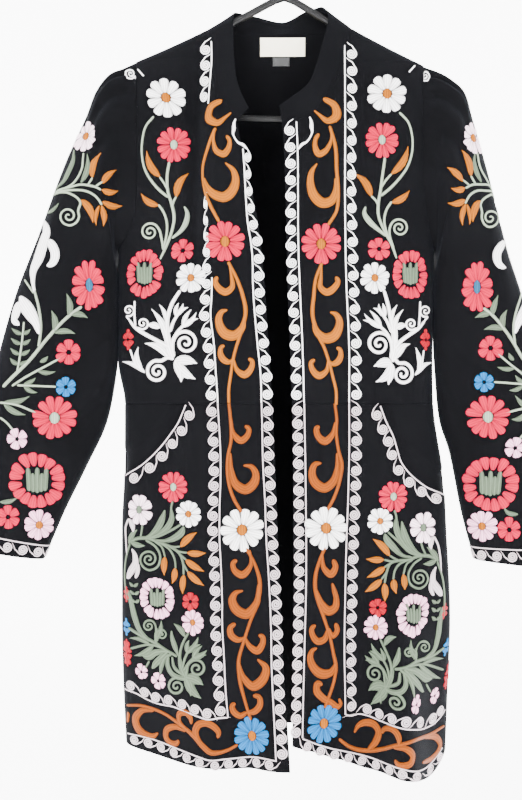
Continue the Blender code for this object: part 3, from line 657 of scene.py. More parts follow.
class Value:
    # wraps a socket of a material's tree, so that + - * / and ** add its Math nodes
    def __init__(self, tree, socket):
        self.tree, self.socket = tree, socket

    def math(self, operation, *others, first=None):
        node = self.tree.nodes.new("ShaderNodeMath")
        node.operation = operation
        values = ([] if first is None else [first]) + [self] + list(others)
        for place, value in enumerate(values):
            setInput(self.tree, node.inputs[place], value)
        return Value(self.tree, node.outputs[0])

    def __add__(self, other):
        return self.math("ADD", other)

    def __radd__(self, other):
        return self.math("ADD", first=other)

    def __sub__(self, other):
        return self.math("SUBTRACT", other)

    def __rsub__(self, other):
        return self.math("SUBTRACT", first=other)

    def __mul__(self, other):
        return self.math("MULTIPLY", other)

    def __rmul__(self, other):
        return self.math("MULTIPLY", first=other)

    def __truediv__(self, other):
        return self.math("DIVIDE", other)

    def __rtruediv__(self, other):
        return self.math("DIVIDE", first=other)

    def __pow__(self, other):
        return self.math("POWER", other)

    def sine(self):
        return self.math("SINE")

    def size(self):
        return self.math("ABSOLUTE")

    def clamped(self):
        return self.math("MINIMUM", 1.0).math("MAXIMUM", 0.0)


def setInput(tree, socket, value):
    if isinstance(value, Value):
        tree.links.new(value.socket, socket)
    elif isinstance(value, bpy.types.NodeSocket):
        tree.links.new(value, socket)
    else:
        socket.default_value = value


def linear(*rgb):
    # a colour as seen on a screen, 0 to 255, turned into light
    part = np.array(rgb, float) / 255
    return tuple(np.where(part <= 0.04045, part / 12.92, ((part + 0.055) / 1.055) ** 2.4))


class Finish:
    # one material: constants go on the shader's own sockets, and node() adds any other node
    def __init__(self, name, **constants):
        self.material = bpy.data.materials.new(name)
        self.material.use_nodes = True
        self.tree = self.material.node_tree
        self.shader = self.tree.nodes["Principled BSDF"]
        for socket, value in constants.items():
            self.shader.inputs[socket.replace("_", " ")].default_value = value

    def node(self, kind, settings=None, inputs=None, output=0):
        node = self.tree.nodes.new("ShaderNode" + kind)
        for key, value in (settings or {}).items():
            setattr(node, key, value)
        for key, value in (inputs or {}).items():
            setInput(self.tree, node.inputs[key], value)
        return Value(self.tree, node.outputs[output])

    def mix(self, factor, first, second, blend="MIX"):
        settings = {"data_type": "RGBA", "blend_type": blend}
        colors = [value if isinstance(value, Value) else (*value, 1) for value in (first, second)]
        return self.node("Mix", settings, {0: factor, 6: colors[0], 7: colors[1]}, 2)

    def noise(self, where, scale, detail=2.0, roughness=0.5):
        return self.node("TexNoise", None, {"Vector": where, "Scale": scale, "Detail": detail,
                                             "Roughness": roughness})

    def place(self):
        return self.node("TexCoord", output=3)

    def uv(self):
        layer = self.node("UVMap", {"uv_map": "clothUV"})
        parts = self.node("SeparateXYZ", None, {0: layer})
        return parts, Value(self.tree, parts.socket.node.outputs[1])

    def bump(self, height, distance, strength=1.0, under=None):
        inputs = {"Height": height, "Distance": distance, "Strength": strength}
        if under is not None:
            inputs["Normal"] = under
        return self.node("Bump", None, inputs)

    def link(self, **inputs):
        for socket, value in inputs.items():
            setInput(self.tree, self.shader.inputs[socket.replace("_", " ")], value)
        return self.material


# the finishes

blackCotton = {"dark": linear(3, 3, 4), "light": linear(9, 9, 11), "weavePitch": 0.9,
               "weaveDepth": 0.00011, "napDepth": 0.00030}


def makeCotton():
    # two crossed sines for the weave, fine noise for its nap and wide noise for its tone
    finish = Finish("blackCotton", Roughness=0.86, Sheen_Weight=0.015, Sheen_Roughness=0.45,
                    Sheen_Tint=(0.7, 0.78, 1, 1), Specular_IOR_Level=0.03)
    u, v = finish.uv()
    turns = 2 * np.pi * 100 / blackCotton["weavePitch"]
    place = finish.place()
    slub = finish.noise(place, 90.0, 2.0)
    weave = (u * turns + slub * 3).sine() * (v * turns + slub * 3).sine()
    nap = finish.noise(place, 700.0, 3.0, 0.7)
    tone = finish.noise(place, 9.0, 4.0, 0.6)
    worn = ((tone - 0.35) * 1.8).clamped() * 0.6 + nap * 0.35
    color = finish.mix(worn.clamped(), blackCotton["dark"], blackCotton["light"])
    soft = finish.bump(nap, blackCotton["napDepth"], 0.5)
    rough = 0.78 + nap * 0.18
    return finish.link(Base_Color=color, Roughness=rough,
                       Normal=finish.bump(weave, blackCotton["weaveDepth"], 0.7, soft))


labelRibs = {"downPitch": 0.8, "acrossPitch": 0.5}


def makeLabelCloth(name, dark, light):
    # a woven label: fine ribs across it, and a little tone
    finish = Finish(name, Roughness=0.55, Sheen_Weight=0.2, Sheen_Roughness=0.4)
    u, v = finish.uv()
    down = (v * (2 * np.pi * 100 / labelRibs["downPitch"])).sine()
    ribs = down * 0.6 + (u * (2 * np.pi * 100 / labelRibs["acrossPitch"])).sine() * 0.4
    tone = finish.noise(finish.place(), 60.0, 3.0)
    color = finish.mix((tone * 0.7 + ribs * 0.12).clamped(), dark, light)
    return finish.link(Base_Color=color, Normal=finish.bump(ribs, 0.0001, 0.6))


def makeBlackPlastic():
    # glossy moulded plastic with faint flow marks and fine scuffs
    finish = Finish("blackPlastic", Roughness=0.3, Specular_IOR_Level=0.16)
    place = finish.place()
    flow = finish.noise(place, 30.0, 3.0)
    scuff = finish.noise(place, 420.0, 2.0, 0.8)
    color = finish.mix(flow, linear(4, 4, 5), linear(10, 10, 11))
    rough = 0.24 + (flow * 0.10 + ((scuff - 0.55) * 2).clamped() * 0.2)
    return finish.link(Base_Color=color, Roughness=rough, Normal=finish.bump(flow, 0.0004, 0.15))


chainStitch = {"rowPitch": 1.05, "linkPitch": 2.4, "groovePitch": 3.2, "depth": 0.00045}


def makeThread():
    # rows of chain stitch: ridges across the ribbon's width, cut into links along it. The colour is
    # darkened between the rows and the links, and along a dark line every few rows: painted shade in the
    # stitching's hollows
    finish = Finish("thread", Roughness=0.5, Sheen_Weight=0.02, Sheen_Roughness=0.35,
                    Specular_IOR_Level=0.06)
    u, v = finish.uv()
    rowTurn = np.pi * 100 / chainStitch["rowPitch"]
    row = (u * rowTurn).sine().size()
    link = ((v * (2 * np.pi * 100 / chainStitch["linkPitch"])) + (u * rowTurn * 0.9)).sine() * 0.5 + 0.5
    stitch = row ** 0.6 * (0.72 + link * 0.28)
    # painted shade: a dark line along the thread every few rows, where the bundles of rows meet
    grooveTurn = u * (np.pi * 100 / chainStitch["groovePitch"]) + np.pi / 2
    paintedGrooveShade = (grooveTurn + finish.noise(finish.place(), 130.0) * 0.5).sine().size() ** 0.35
    shade = finish.node("Attribute", {"attribute_name": "threadColorAndEdgeShade", "attribute_type": "GEOMETRY"})
    tone = finish.noise(finish.place(), 260.0, 2.0)
    # painted shade: the colour dims where the stitch ridges and links fall away
    dark = finish.mix(1.0, shade, linear(186, 178, 178), "MULTIPLY")
    rows = finish.mix((stitch * 0.85 + tone * 0.3).clamped(), dark, shade)
    # the rows' colour darkened further for the painted shade of the grooves between bundles
    deep = finish.mix(1.0, rows, linear(150, 140, 140), "MULTIPLY")
    color = finish.mix(paintedGrooveShade, deep, rows)
    return finish.link(Base_Color=color, Roughness=0.62 - stitch * 0.18,
                       Normal=finish.bump(stitch, chainStitch["depth"], 0.8))


finishes = {"cotton": makeCotton(),
            "cream": makeLabelCloth("creamLabel", linear(222, 214, 190), linear(250, 245, 228)),
            "grey": makeLabelCloth("greyLabel", linear(5, 6, 8), linear(11, 12, 15)),
            "plastic": makeBlackPlastic(), "thread": makeThread()}
print("finishes made")


# the cloth pieces; cut is the width and length of the cloth each was cut from


def addCloth(node, middle, normals, **options):
    thing = addWall(node + "Cloth", middle, normals, cloth["thickness"], finishes["cotton"], **options)
    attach(thing, "root")
    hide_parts(node)


topRows = {}
for side in ("right", "left"):
    upper = upperFrontGrid(side)
    topRows[side] = upper[0]
    addCloth("front_upper_" + side, upper, bodyNormal(upper, "front"),
             keep=keepBetween(front=True, above=True))
    skirt = skirtFrontGrid(side)
    addCloth("front_skirt_" + side, skirt, bodyNormal(skirt, "front"),
             keep=keepBetween(front=True, below=True))
    bag = pocketGrid(side)
    addCloth("pocket_" + side, bag, bodyNormal(bag, "front"), keep=keepBetween(front=True, below=True))
    rings, ringOut = sleeveGrid(side)
    addCloth("sleeve_" + side, rings, ringOut, loops=True)
backMiddle = backGrid()
addCloth("back", backMiddle, bodyNormal(backMiddle, "back"), keep=keepBetween(back=True))
stand, standOut = collarGrid(topRows, backMiddle[0])
addCloth("collar", stand, standOut)
print("cloth made")

labelSpots = {"label_main": {"low": (-35, -161), "high": (27, -136.5), "finish": "cream",
                             "slot": "label_cream", "cut": (0.062, 0.0245)},
              "label_size": {"low": (-18, -174), "high": (6, -161.6), "finish": "grey",
                             "slot": "label_dark", "cut": (0.024, 0.0124)}}
labelWall = {"thickness": 1.0, "gap": 0.3}


def addLabel(node, spot):
    # a small patch on the inside of the back, held by a stitched edge
    across = shares(40, spot["high"][0] - spot["low"][0])
    down = shares(20, spot["high"][1] - spot["low"][1])
    x = spot["low"][0] + (spot["high"][0] - spot["low"][0]) * across
    z = spot["high"][1] + (spot["low"][1] - spot["high"][1]) * down
    x, z = np.meshgrid(x, z)
    y = bodyY("back", x, z) - cloth["thickness"] / 2 - labelWall["gap"] - labelWall["thickness"] / 2
    middle = np.stack([x, y, z], axis=-1)
    thing = addWall(node + "Cloth", middle, -bodyNormal(middle, "back"), labelWall["thickness"],
                    finishes[spot["finish"]])
    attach(thing, "root")
    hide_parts(node)


for node, spot in labelSpots.items():
    addLabel(node, spot)
for node in ("hanger_frame", "hanger_hook"):
    thing = frame["nodes"][node]
    for place in range(len(thing.material_slots)):
        thing.material_slots[place].material = finishes["plastic"]
    if not thing.material_slots:
        thing.data.materials.append(finishes["plastic"])


# where a pixel of the photograph falls on the cloth. A chart's places are pairs of numbers; it turns
# a pixel into a place, moves a place by millimetres on the cloth, and gives its point in space

photo = {"x": -33.8, "y": -1355, "z": -635, "lens": 45, "focalPixels": 1000, "middle": (261, 400)}
mmPerPixel = 1.3


class BodyChart:
    # a place is the length round the cloth from the centre line, and the height
    def __init__(self, face):
        self.face = face
        self.pitch = 5.0
        self.levels = np.arange(-1135.0, -140.0, self.pitch)
        turns = np.radians(np.linspace(-90, 90, 241))
        z = self.levels[:, None]
        reach = np.where(turns < 0, reachAt("right", z), reachAt("left", z)) - body["centerX"]
        self.x = body["centerX"] + reach * np.sin(np.abs(turns))
        y = bodyY(face, self.x, z)
        self.lengths = lengthsAlong(np.stack([self.x, y], axis=-1), 1)
        self.lengths -= self.lengths[:, [120]]

    def rowsAt(self, z):
        at = np.clip((z - self.levels[0]) / self.pitch, 0, len(self.levels) - 1.001)
        row = at.astype(int)
        part = (at - row)[:, None]
        return [grid[row] * (1 - part) + grid[row + 1] * part for grid in (self.x, self.lengths)]

    def between(self, keys, values, at):
        # reads values at the place where each row of keys passes at
        place = np.clip((keys < at[:, None]).sum(axis=1) - 1, 0, keys.shape[1] - 2)
        every = np.arange(len(at))
        low, high = keys[every, place], keys[every, place + 1]
        t = np.clip((at - low) / np.maximum(high - low, 1e-9), 0, 1)
        return values[every, place] * (1 - t) + values[every, place + 1] * t

    def fromPixels(self, pixels):
        # the depth under the pixel is looked up again until it settles
        pixels = np.asarray(pixels, float).reshape(-1, 2)
        y = np.full(len(pixels), -50.0)
        for turn in range(12):
            scale = (y - photo["y"]) / photo["focalPixels"]
            x = photo["x"] + (pixels[:, 0] - photo["middle"][0]) * scale
            z = photo["z"] + (photo["middle"][1] - pixels[:, 1]) * scale
            y = bodyY(self.face, x, z)
        x = np.clip(x, reachAt("right", z) + 0.5, reachAt("left", z) - 0.5)
        return self.fromHeights(x, z)

    def fromHeights(self, x, z):
        rows, lengths = self.rowsAt(z)
        return np.stack([self.between(rows, lengths, x), z], axis=-1)

    def frameAt(self, places):
        return None

    def toMillimetres(self, frame, steps):
        return steps

    def moved(self, places, frame, steps):
        return places + steps

    def toSpace(self, places):
        points, normals = [], []
        for start in range(0, len(places), 20000):
            s, z = places[start:start + 20000].T
            xs, lengths = self.rowsAt(z)
            x = self.between(lengths, xs, s)
            part = np.stack([x, bodyY(self.face, x, z), z], axis=-1)
            points.append(part)
            normals.append(bodyNormal(part, self.face))
        return np.concatenate(points), np.concatenate(normals)


chartGrid = {"stations": 200, "ring": 240, "rows": 220}


class SleeveChart:
    # a place is a row down the sleeve and a column round it, on a grid with even steps whose
    # middle column is the front and whose first and last meet at the back
    def __init__(self, side):
        points, normals = sleeveGrid(side, chartGrid["stations"], chartGrid["ring"])
        order = np.roll(np.arange(chartGrid["ring"]), chartGrid["ring"] // 4)
        order = np.append(order, order[0])
        if side == "left":
            order = order[::-1]
        grid = np.concatenate([points[:, order], normals[:, order]], axis=-1)
        around = lengthsAlong(grid[..., :3], 1)
        self.columns, self.rows = chartGrid["ring"] + 1, chartGrid["rows"]
        even = np.linspace(0, 1, self.columns) * around[:, -1:]
        grid = np.stack([np.stack([np.interp(even[row], around[row], grid[row, :, part])
                                   for part in range(6)], -1) for row in range(len(grid))])
        down = lengthsAlong(grid[:, self.columns // 2, :3], 0)
        index = np.interp(np.linspace(0, down[-1], self.rows), down, np.arange(len(down)))
        low = np.minimum(index.astype(int), len(down) - 2)
        part = (index - low)[:, None, None]
        self.grid = grid[low] * (1 - part) + grid[low + 1] * part
        self.length = down[-1]
        outer = self.grid[..., :3] + self.grid[..., 3:] * cloth["thickness"] / 2
        scale = (outer[..., 1] - photo["y"]) / photo["focalPixels"]
        self.pixels = np.stack([photo["middle"][0] + (outer[..., 0] - photo["x"]) / scale,
                                photo["middle"][1] - (outer[..., 2] - photo["z"]) / scale], axis=-1)
        hidden = self.grid[..., 4] > -0.05
        self.pixels[hidden] = 1e6

    def read(self, places):
        row = np.clip(places[..., 0], 0, self.rows - 1.001)
        column = np.mod(places[..., 1], self.columns - 1)
        r, c = row.astype(int), column.astype(int)
        u, v = (row - r)[..., None], (column - c)[..., None]
        return ((self.grid[r, c] * (1 - v) + self.grid[r, c + 1] * v) * (1 - u)
                + (self.grid[r + 1, c] * (1 - v) + self.grid[r + 1, c + 1] * v) * u)

    def fromPixels(self, pixels):
        # the nearest grid point that faces the camera, then the rest of the way on the cloth
        pixels = np.asarray(pixels, float).reshape(-1, 2)
        found = [np.unravel_index(np.argmin(((self.pixels - pixel) ** 2).sum(-1)), self.pixels.shape[:2])
                 for pixel in pixels]
        places = np.array(found, float)
        rest = (pixels - np.array([self.pixels[spot] for spot in found])) * mmPerPixel * np.array([1, -1])
        rest *= np.minimum(1, 4 / np.maximum(np.linalg.norm(rest, axis=1, keepdims=True), 1e-9))
        return self.moved(places, self.frameAt(places), rest)

    def frameAt(self, places):
        # the cloth's own axes in grid steps: right and up as seen in the photograph
        steps = np.array([[2.0, 0.0], [0.0, 2.0]])
        places = np.stack([np.clip(places[..., 0], 2, self.rows - 3.1), places[..., 1]], axis=-1)
        here = self.read(places)
        down = (self.read(places + steps[0])[..., :3] - self.read(places - steps[0])[..., :3]) / 4
        across = (self.read(places + steps[1])[..., :3] - self.read(places - steps[1])[..., :3]) / 4
        normal = here[..., 3:] / np.linalg.norm(here[..., 3:], axis=-1, keepdims=True)
        axis = down / np.linalg.norm(down, axis=-1, keepdims=True)
        aside = np.cross(normal, axis)
        front = np.stack([places[..., 0], np.full(places.shape[:-1], self.columns / 2)], axis=-1)
        lean = self.read(front + steps[0])[..., :3] - self.read(front - steps[0])[..., :3]
        angle = np.arctan2(lean[..., 0], -lean[..., 2])[..., None]
        right = aside * np.cos(angle) + axis * np.sin(angle)
        up = aside * np.sin(angle) - axis * np.cos(angle)
        # right and up are each a sum of the two grid steps
        a, b, d = (down * down).sum(-1), (down * across).sum(-1), (across * across).sum(-1)
        det = a * d - b * b
        frames = []
        for way in (right, up):
            p, q = (way * down).sum(-1), (way * across).sum(-1)
            frames.append(np.stack([(d * p - b * q) / det, (a * q - b * p) / det], axis=-1))
        return np.stack(frames, axis=-2)

    def toMillimetres(self, frame, steps):
        a, b = frame[..., 0, :], frame[..., 1, :]
        det = a[..., 0] * b[..., 1] - a[..., 1] * b[..., 0]
        x = (steps[..., 0] * b[..., 1] - steps[..., 1] * b[..., 0]) / det
        y = (a[..., 0] * steps[..., 1] - a[..., 1] * steps[..., 0]) / det
        return np.stack([x, y], axis=-1)

    def moved(self, places, frame, steps):
        return places + frame[..., 0, :] * steps[..., :1] + frame[..., 1, :] * steps[..., 1:]

    def toSpace(self, places):
        found = self.read(places)
        normals = found[:, 3:] / np.linalg.norm(found[:, 3:], axis=1, keepdims=True)
        return found[:, :3], normals


def splineThrough(points, at, where):
    # Catmull-Rom: a cubic between knots whose slope at a knot comes from its neighbours
    if len(at) > 2:
        slopes = np.gradient(points, at, axis=0)
    else:
        slopes = np.repeat(np.diff(points, axis=0) / np.diff(at), 2, 0)
    row = np.clip(np.searchsorted(at, where, side="right") - 1, 0, len(at) - 2)
    step = (at[row + 1] - at[row])[:, None]
    t = (where - at[row])[:, None] / step
    return cubicBetween(points[row], points[row + 1], slopes[row], slopes[row + 1], step, t)


stitch = {"height": 0.8, "sink": 0.5, "lift": 0.05, "step": 1.7, "across": 4, "edgeShade": 0.45}
chance = np.random.default_rng(11)


coil = {"turns": 2.45, "start": np.radians(-52), "points": 32, "outer": 0.86, "taper": 0.80}


class Stitching:
    # gathers the ribbons of thread on one piece of cloth, then makes them one mesh
    def __init__(self, node, chart, anchors=None):
        self.node, self.chart, self.anchors = node, chart, anchors
        self.sign = 1 if anchors is None else -1
        self.patches = []

    def spots(self, pixels, direct=False):
        # the designs are given for the right half; on the left they are mirrored, then shifted as
        # their anchors are, which weigh more the nearer they lie
        pixels = np.asarray(pixels, float).reshape(-1, 2)
        if self.anchors is not None and not direct:
            known, seen = self.anchors[:, :2], self.anchors[:, 2:]
            middle = (known[:, 0] + seen[:, 0]).mean()
            flipped = np.stack([middle - known[:, 0], known[:, 1]], axis=-1)
            weights = 1 / (((pixels[:, None] - known) ** 2).sum(-1) + 120) ** 2
            shift = (weights[..., None] * (seen - flipped)).sum(1) / weights.sum(1, keepdims=True)
            pixels = np.stack([middle - pixels[:, 0], pixels[:, 1]], axis=-1) + shift
        return self.chart.fromPixels(pixels)

    def ribbons(self, paths, half, color, height=None, dark=None):
        # across each path the height follows a half circle, and both edges dip into the cloth;
        # the thread's colour is darkened towards both edges, painted shade where it goes down into the
        # cloth
        paths = np.asarray(paths, float)
        if paths.ndim == 2:
            paths = paths[None]
        half = np.broadcast_to(half, paths.shape[:2])
        frame = self.chart.frameAt(paths)
        ahead = self.chart.toMillimetres(frame, np.gradient(paths, axis=1))
        steps = np.linalg.norm(ahead, axis=-1, keepdims=True)
        ahead = ahead / np.maximum(steps, 1e-9)
        aside = np.stack([-ahead[..., 1], ahead[..., 0]], axis=-1)
        c = np.linspace(-1, 1, stitch["across"] + 1)
        c = np.sign(c) * np.abs(c) ** 0.8
        offsets = aside[:, :, None] * (half[..., None] * c)[..., None]
        wide = None if frame is None else frame[:, :, None]
        places = self.chart.moved(np.broadcast_to(paths[:, :, None], offsets.shape), wide, offsets)
        rise = np.minimum(height or stitch["height"], half * 0.8 + 0.1)[..., None]
        heights = rise * np.sqrt(1 - c ** 2) - stitch["sink"] * (np.abs(c) == 1) + stitch["lift"]
        along = np.cumsum(steps[..., 0], axis=1)
        uv = np.stack([half[..., None] * c, np.broadcast_to(along[..., None], heights.shape)],
                      axis=-1) / 100
        colors = np.broadcast_to(color, (len(paths), paths.shape[1], 3)).copy()
        if dark is not None:
            colors *= (dark + (1 - dark) * np.minimum(1, np.linspace(0, 2, paths.shape[1])))[None, :, None]
        # painted shade: the colour falls off towards both edges of the ribbon
        edge = 1 - stitch["edgeShade"] * np.abs(c) ** 3
        self.patches.append((places, heights, uv, colors[:, :, None] * edge[:, None]))

    def shapes(self, center, paths, half, color, **options):
        # paths in millimetres round a pixel, x to the right and y up
        place = self.spots(center)[0]
        paths = np.asarray(paths, float) * np.array([self.sign, 1])
        frame = self.chart.frameAt(place)
        self.ribbons(self.chart.moved(np.broadcast_to(place, paths.shape), frame, paths), half, color,
                     **options)

    def band(self, knots, color, tips=True, direct=False, **options):
        # a ribbon through pixels, each with the band's width there; rounded at its ends
        knots = np.asarray(knots, float)
        at = np.concatenate([[0], np.cumsum(np.hypot(*np.diff(knots[:, :2], axis=0).T))]) * mmPerPixel
        places = self.spots(knots[:, :2], direct)
        ends = np.array([0.3, 0.3])
        if tips:
            ends = np.minimum(knots[[0, -1], 2] * mmPerPixel / 2, at[-1] * 0.2)
        count = max(4, int(at[-1] / stitch["step"]))
        close = np.array([0, 0.1, 0.4])
        where = np.concatenate([close * ends[0], np.linspace(ends[0], at[-1] - ends[1], count),
                                at[-1] - (close * ends[1])[::-1]])
        half = np.maximum(splineThrough(knots[:, 2:3], at, where)[:, 0], 0.5) * mmPerPixel / 2
        for end, gap in ((ends[0], where), (ends[1], at[-1] - where)):
            half = half * np.sqrt(1 - (1 - np.minimum(gap / end, 1)) ** 2 * 0.985)
        self.ribbons(splineThrough(places, at, where), half, color, **options)

    def leaf(self, base, tip, width, color, bow=0.12):
        # from base to tip with a sideways bow, widest below the middle
        base, tip = np.array(base, float), np.array(tip, float)
        run = tip - base
        aside = np.array([-run[1], run[0]])
        t = np.array([0, 0.04, 0.14, 0.28, 0.44, 0.6, 0.76, 0.9, 1.0])
        widths = np.array([0.12, 0.4, 0.72, 0.95, 1.0, 0.88, 0.6, 0.26, 0.05]) * width
        points = base + run * t[:, None] + aside * (bow * np.sin(np.pi * t))[:, None]
        self.ribbons(self.spots(points), widths * mmPerPixel / 2, color)

    def fan(self, base, tips, width, color, bow=0.1):
        for place, tip in enumerate(tips):
            self.leaf(base, tip, width, color, bow * (1 if place % 2 else -1))

    def petals(self, center, radius, count, color, inner=0.26, squeeze=1.0, plump=1.0, dark=0.8):
        # petals round a centre, each narrow at its base and round at its tip
        t = np.array([0, 0.06, 0.2, 0.4, 0.6, 0.76, 0.88, 0.96, 1.0])
        wide = np.array([0.30, 0.44, 0.62, 0.82, 1.0, 1.06, 0.98, 0.74, 0.20])
        angles = 2 * np.pi * (np.arange(count) + 0.5) / count + chance.normal(0, 0.03, count)
        reach = radius * mmPerPixel * (1 + chance.normal(0, 0.025, count))[:, None]
        away = reach * (inner + (1 - inner) * t)
        paths = np.stack([away * np.cos(angles)[:, None] * squeeze, away * np.sin(angles)[:, None]],
                         axis=-1)
        half = radius * mmPerPixel * np.sin(np.pi / count) * 0.86 * plump
        share = np.hypot(squeeze * np.sin(angles), np.cos(angles))[:, None]
        self.shapes(center, paths, half * wide * share, color, dark=dark)

    def disc(self, center, radius, color, squeeze=1.0, height=1.4):
        turn = np.linspace(0, np.pi, 11)
        size = radius * mmPerPixel
        path = np.stack([np.zeros(11), -np.cos(turn) * size], axis=-1)
        self.shapes(center, path, np.maximum(np.sin(turn), 0.02) * size * squeeze, color, height=height)

    def spiral(self, center, radius, turns, endAngle, way, color, tail=(), width=3.0):
        # from the middle outwards; its outer end stands at endAngle and the tail's pixels follow on
        t = np.linspace(0.06, 1, int(turns * 9) + 2)
        angle = np.radians(endAngle) - way * 2 * np.pi * turns * (1 - t)
        pixels = np.array(center) + radius * t[:, None] * np.stack([np.cos(angle), -np.sin(angle)], axis=-1)
        knots = np.concatenate([pixels, np.array(tail, float).reshape(-1, 2)])
        widths = np.concatenate([width * (0.75 + 0.25 * t), np.full(len(tail), width)])
        self.band(np.column_stack([knots, widths]), color)

    def border(self, places, side, color, pitch, gap=-0.8, squeeze=(), bare=0, radius=8.0, lineWidth=2.2,
               line=None):
        # a line of thread and beside it a row of coiled discs, each led in by a thin tail. The coil
        # is an inward spiral in the frame of the line: t runs along it and d away from it. The discs
        # are spaced along the line's pixels where they are given, else along the cloth. Where a fold
        # half hides the row, squeeze narrows its first discs, and the line's first millimetres, as
        # many as bare says, are left out
        frame = self.chart.frameAt(places[:-1])
        at = lengths = np.concatenate([[0], np.cumsum(np.linalg.norm(
            self.chart.toMillimetres(frame, np.diff(places, axis=0)), axis=-1))])
        if line is not None:
            at = np.concatenate([[0], np.cumsum(np.hypot(*np.diff(line, axis=0).T))]) * mmPerPixel
        where = np.linspace(bare, at[-1], int(at[-1] / 4) + 2)
        self.ribbons(splineThrough(places, at, where), np.full(len(where), lineWidth / 2), color)
        count = int(round(at[-1] / pitch))
        pitch = at[-1] / count
        middle = (np.arange(count) + 0.5) * pitch
        centers = splineThrough(places, at, middle)
        ahead = splineThrough(places, at, middle + 1) - splineThrough(places, at, middle - 1)
        frame = self.chart.frameAt(centers)
        ahead = self.chart.toMillimetres(frame, ahead)
        ahead /= np.linalg.norm(ahead, axis=1, keepdims=True)
        stretch = np.clip(np.interp(middle, at, np.gradient(lengths, at)), 1, 2.2)
        away = np.stack([-ahead[:, 1], ahead[:, 0]], axis=-1) * side
        angle = coil["start"] + np.linspace(0, coil["turns"], coil["points"]) * 2 * np.pi
        shrink = radius * (coil["outer"] - coil["taper"] * np.linspace(0, 1, coil["points"]))
        t = np.concatenate([[-pitch + radius * 0.62, -pitch * 0.62, -pitch * 0.5], shrink * np.sin(angle)])
        d = np.concatenate([[-radius * 0.92, -radius * 0.42, radius * 0.12], shrink * np.cos(angle)])
        half = np.concatenate([[0.25, 0.55, 0.75], np.linspace(0.95, 1.28, coil["points"])]) * radius / 7.2
        narrow = np.ones(count)
        narrow[:len(squeeze)] = squeeze[:count]
        d = (d + radius) * narrow[:, None] + gap + lineWidth / 2
        half = half * (0.4 + 0.6 * narrow)[:, None] * stretch[:, None] ** 0.5
        steps = ahead[:, None] * (t * stretch[:, None])[..., None] + away[:, None] * d[..., None]
        wide = None if frame is None else frame[:, None]
        paths = self.chart.moved(np.broadcast_to(centers[:, None], steps.shape), wide, steps)
        self.ribbons(paths, half, color)

    def finish(self):
        points, outward, faces, uvs, colors, start = [], [], [], [], [], 0
        for places, heights, uv, color in self.patches:
            where, normals = self.chart.toSpace(places.reshape(-1, 2))
            lift = heights.reshape(-1, 1) + cloth["thickness"] / 2
            points.append(where + normals * lift)
            outward.append(normals)
            shape = places.shape[:3]
            number = start + np.arange(np.prod(shape)).reshape(shape)
            ring = np.concatenate([number, number[..., :1]], axis=2)
            quads = np.stack([ring[:, :-1, :-1], ring[:, :-1, 1:], ring[:, 1:, 1:], ring[:, 1:, :-1]],
                             axis=-1)
            faces.append(quads.reshape(-1, 4))
            uvs.append(uv.reshape(-1, 2))
            colors.append(color.reshape(-1, 3))
            start += len(where)
        points, faces = np.concatenate(points), np.concatenate(faces)
        # most of the faces must look away from the cloth; if they don't, all are turned over
        corners = points[faces]
        facing = np.cross(corners[:, 1] - corners[:, 0], corners[:, 2] - corners[:, 0])
        if (facing * np.concatenate(outward)[faces[:, 0]]).sum() < 0:
            faces = np.ascontiguousarray(faces[:, ::-1])
        name = self.node + "Stitching"
        thing = addMesh(name, points, faces, np.concatenate(uvs), np.concatenate(colors))
        thing.data.materials.append(finishes["thread"])
        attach(thing, "root")
        print(f"{name}: {len(faces) * 2} triangles")


# thread colours

coral, deepCoral = linear(176, 0, 48), linear(150, 0, 26)
softPink, palePink = linear(240, 176, 206), linear(250, 222, 236)
white, lilac = linear(250, 250, 250), linear(196, 184, 188)
# shadedOrange is the vines' orange thread drawn darker for the skirt: painted shade for the weaker light
# low on the jacket
orange, shadedOrange = linear(146, 80, 0), linear(124, 58, 0)
sage, paleSage = linear(84, 98, 80), linear(136, 150, 130)
skyBlue, steel = linear(0, 96, 156), linear(30, 80, 110)

# the vines up both centre strips, for the right front; knots are x, y and width in pixels

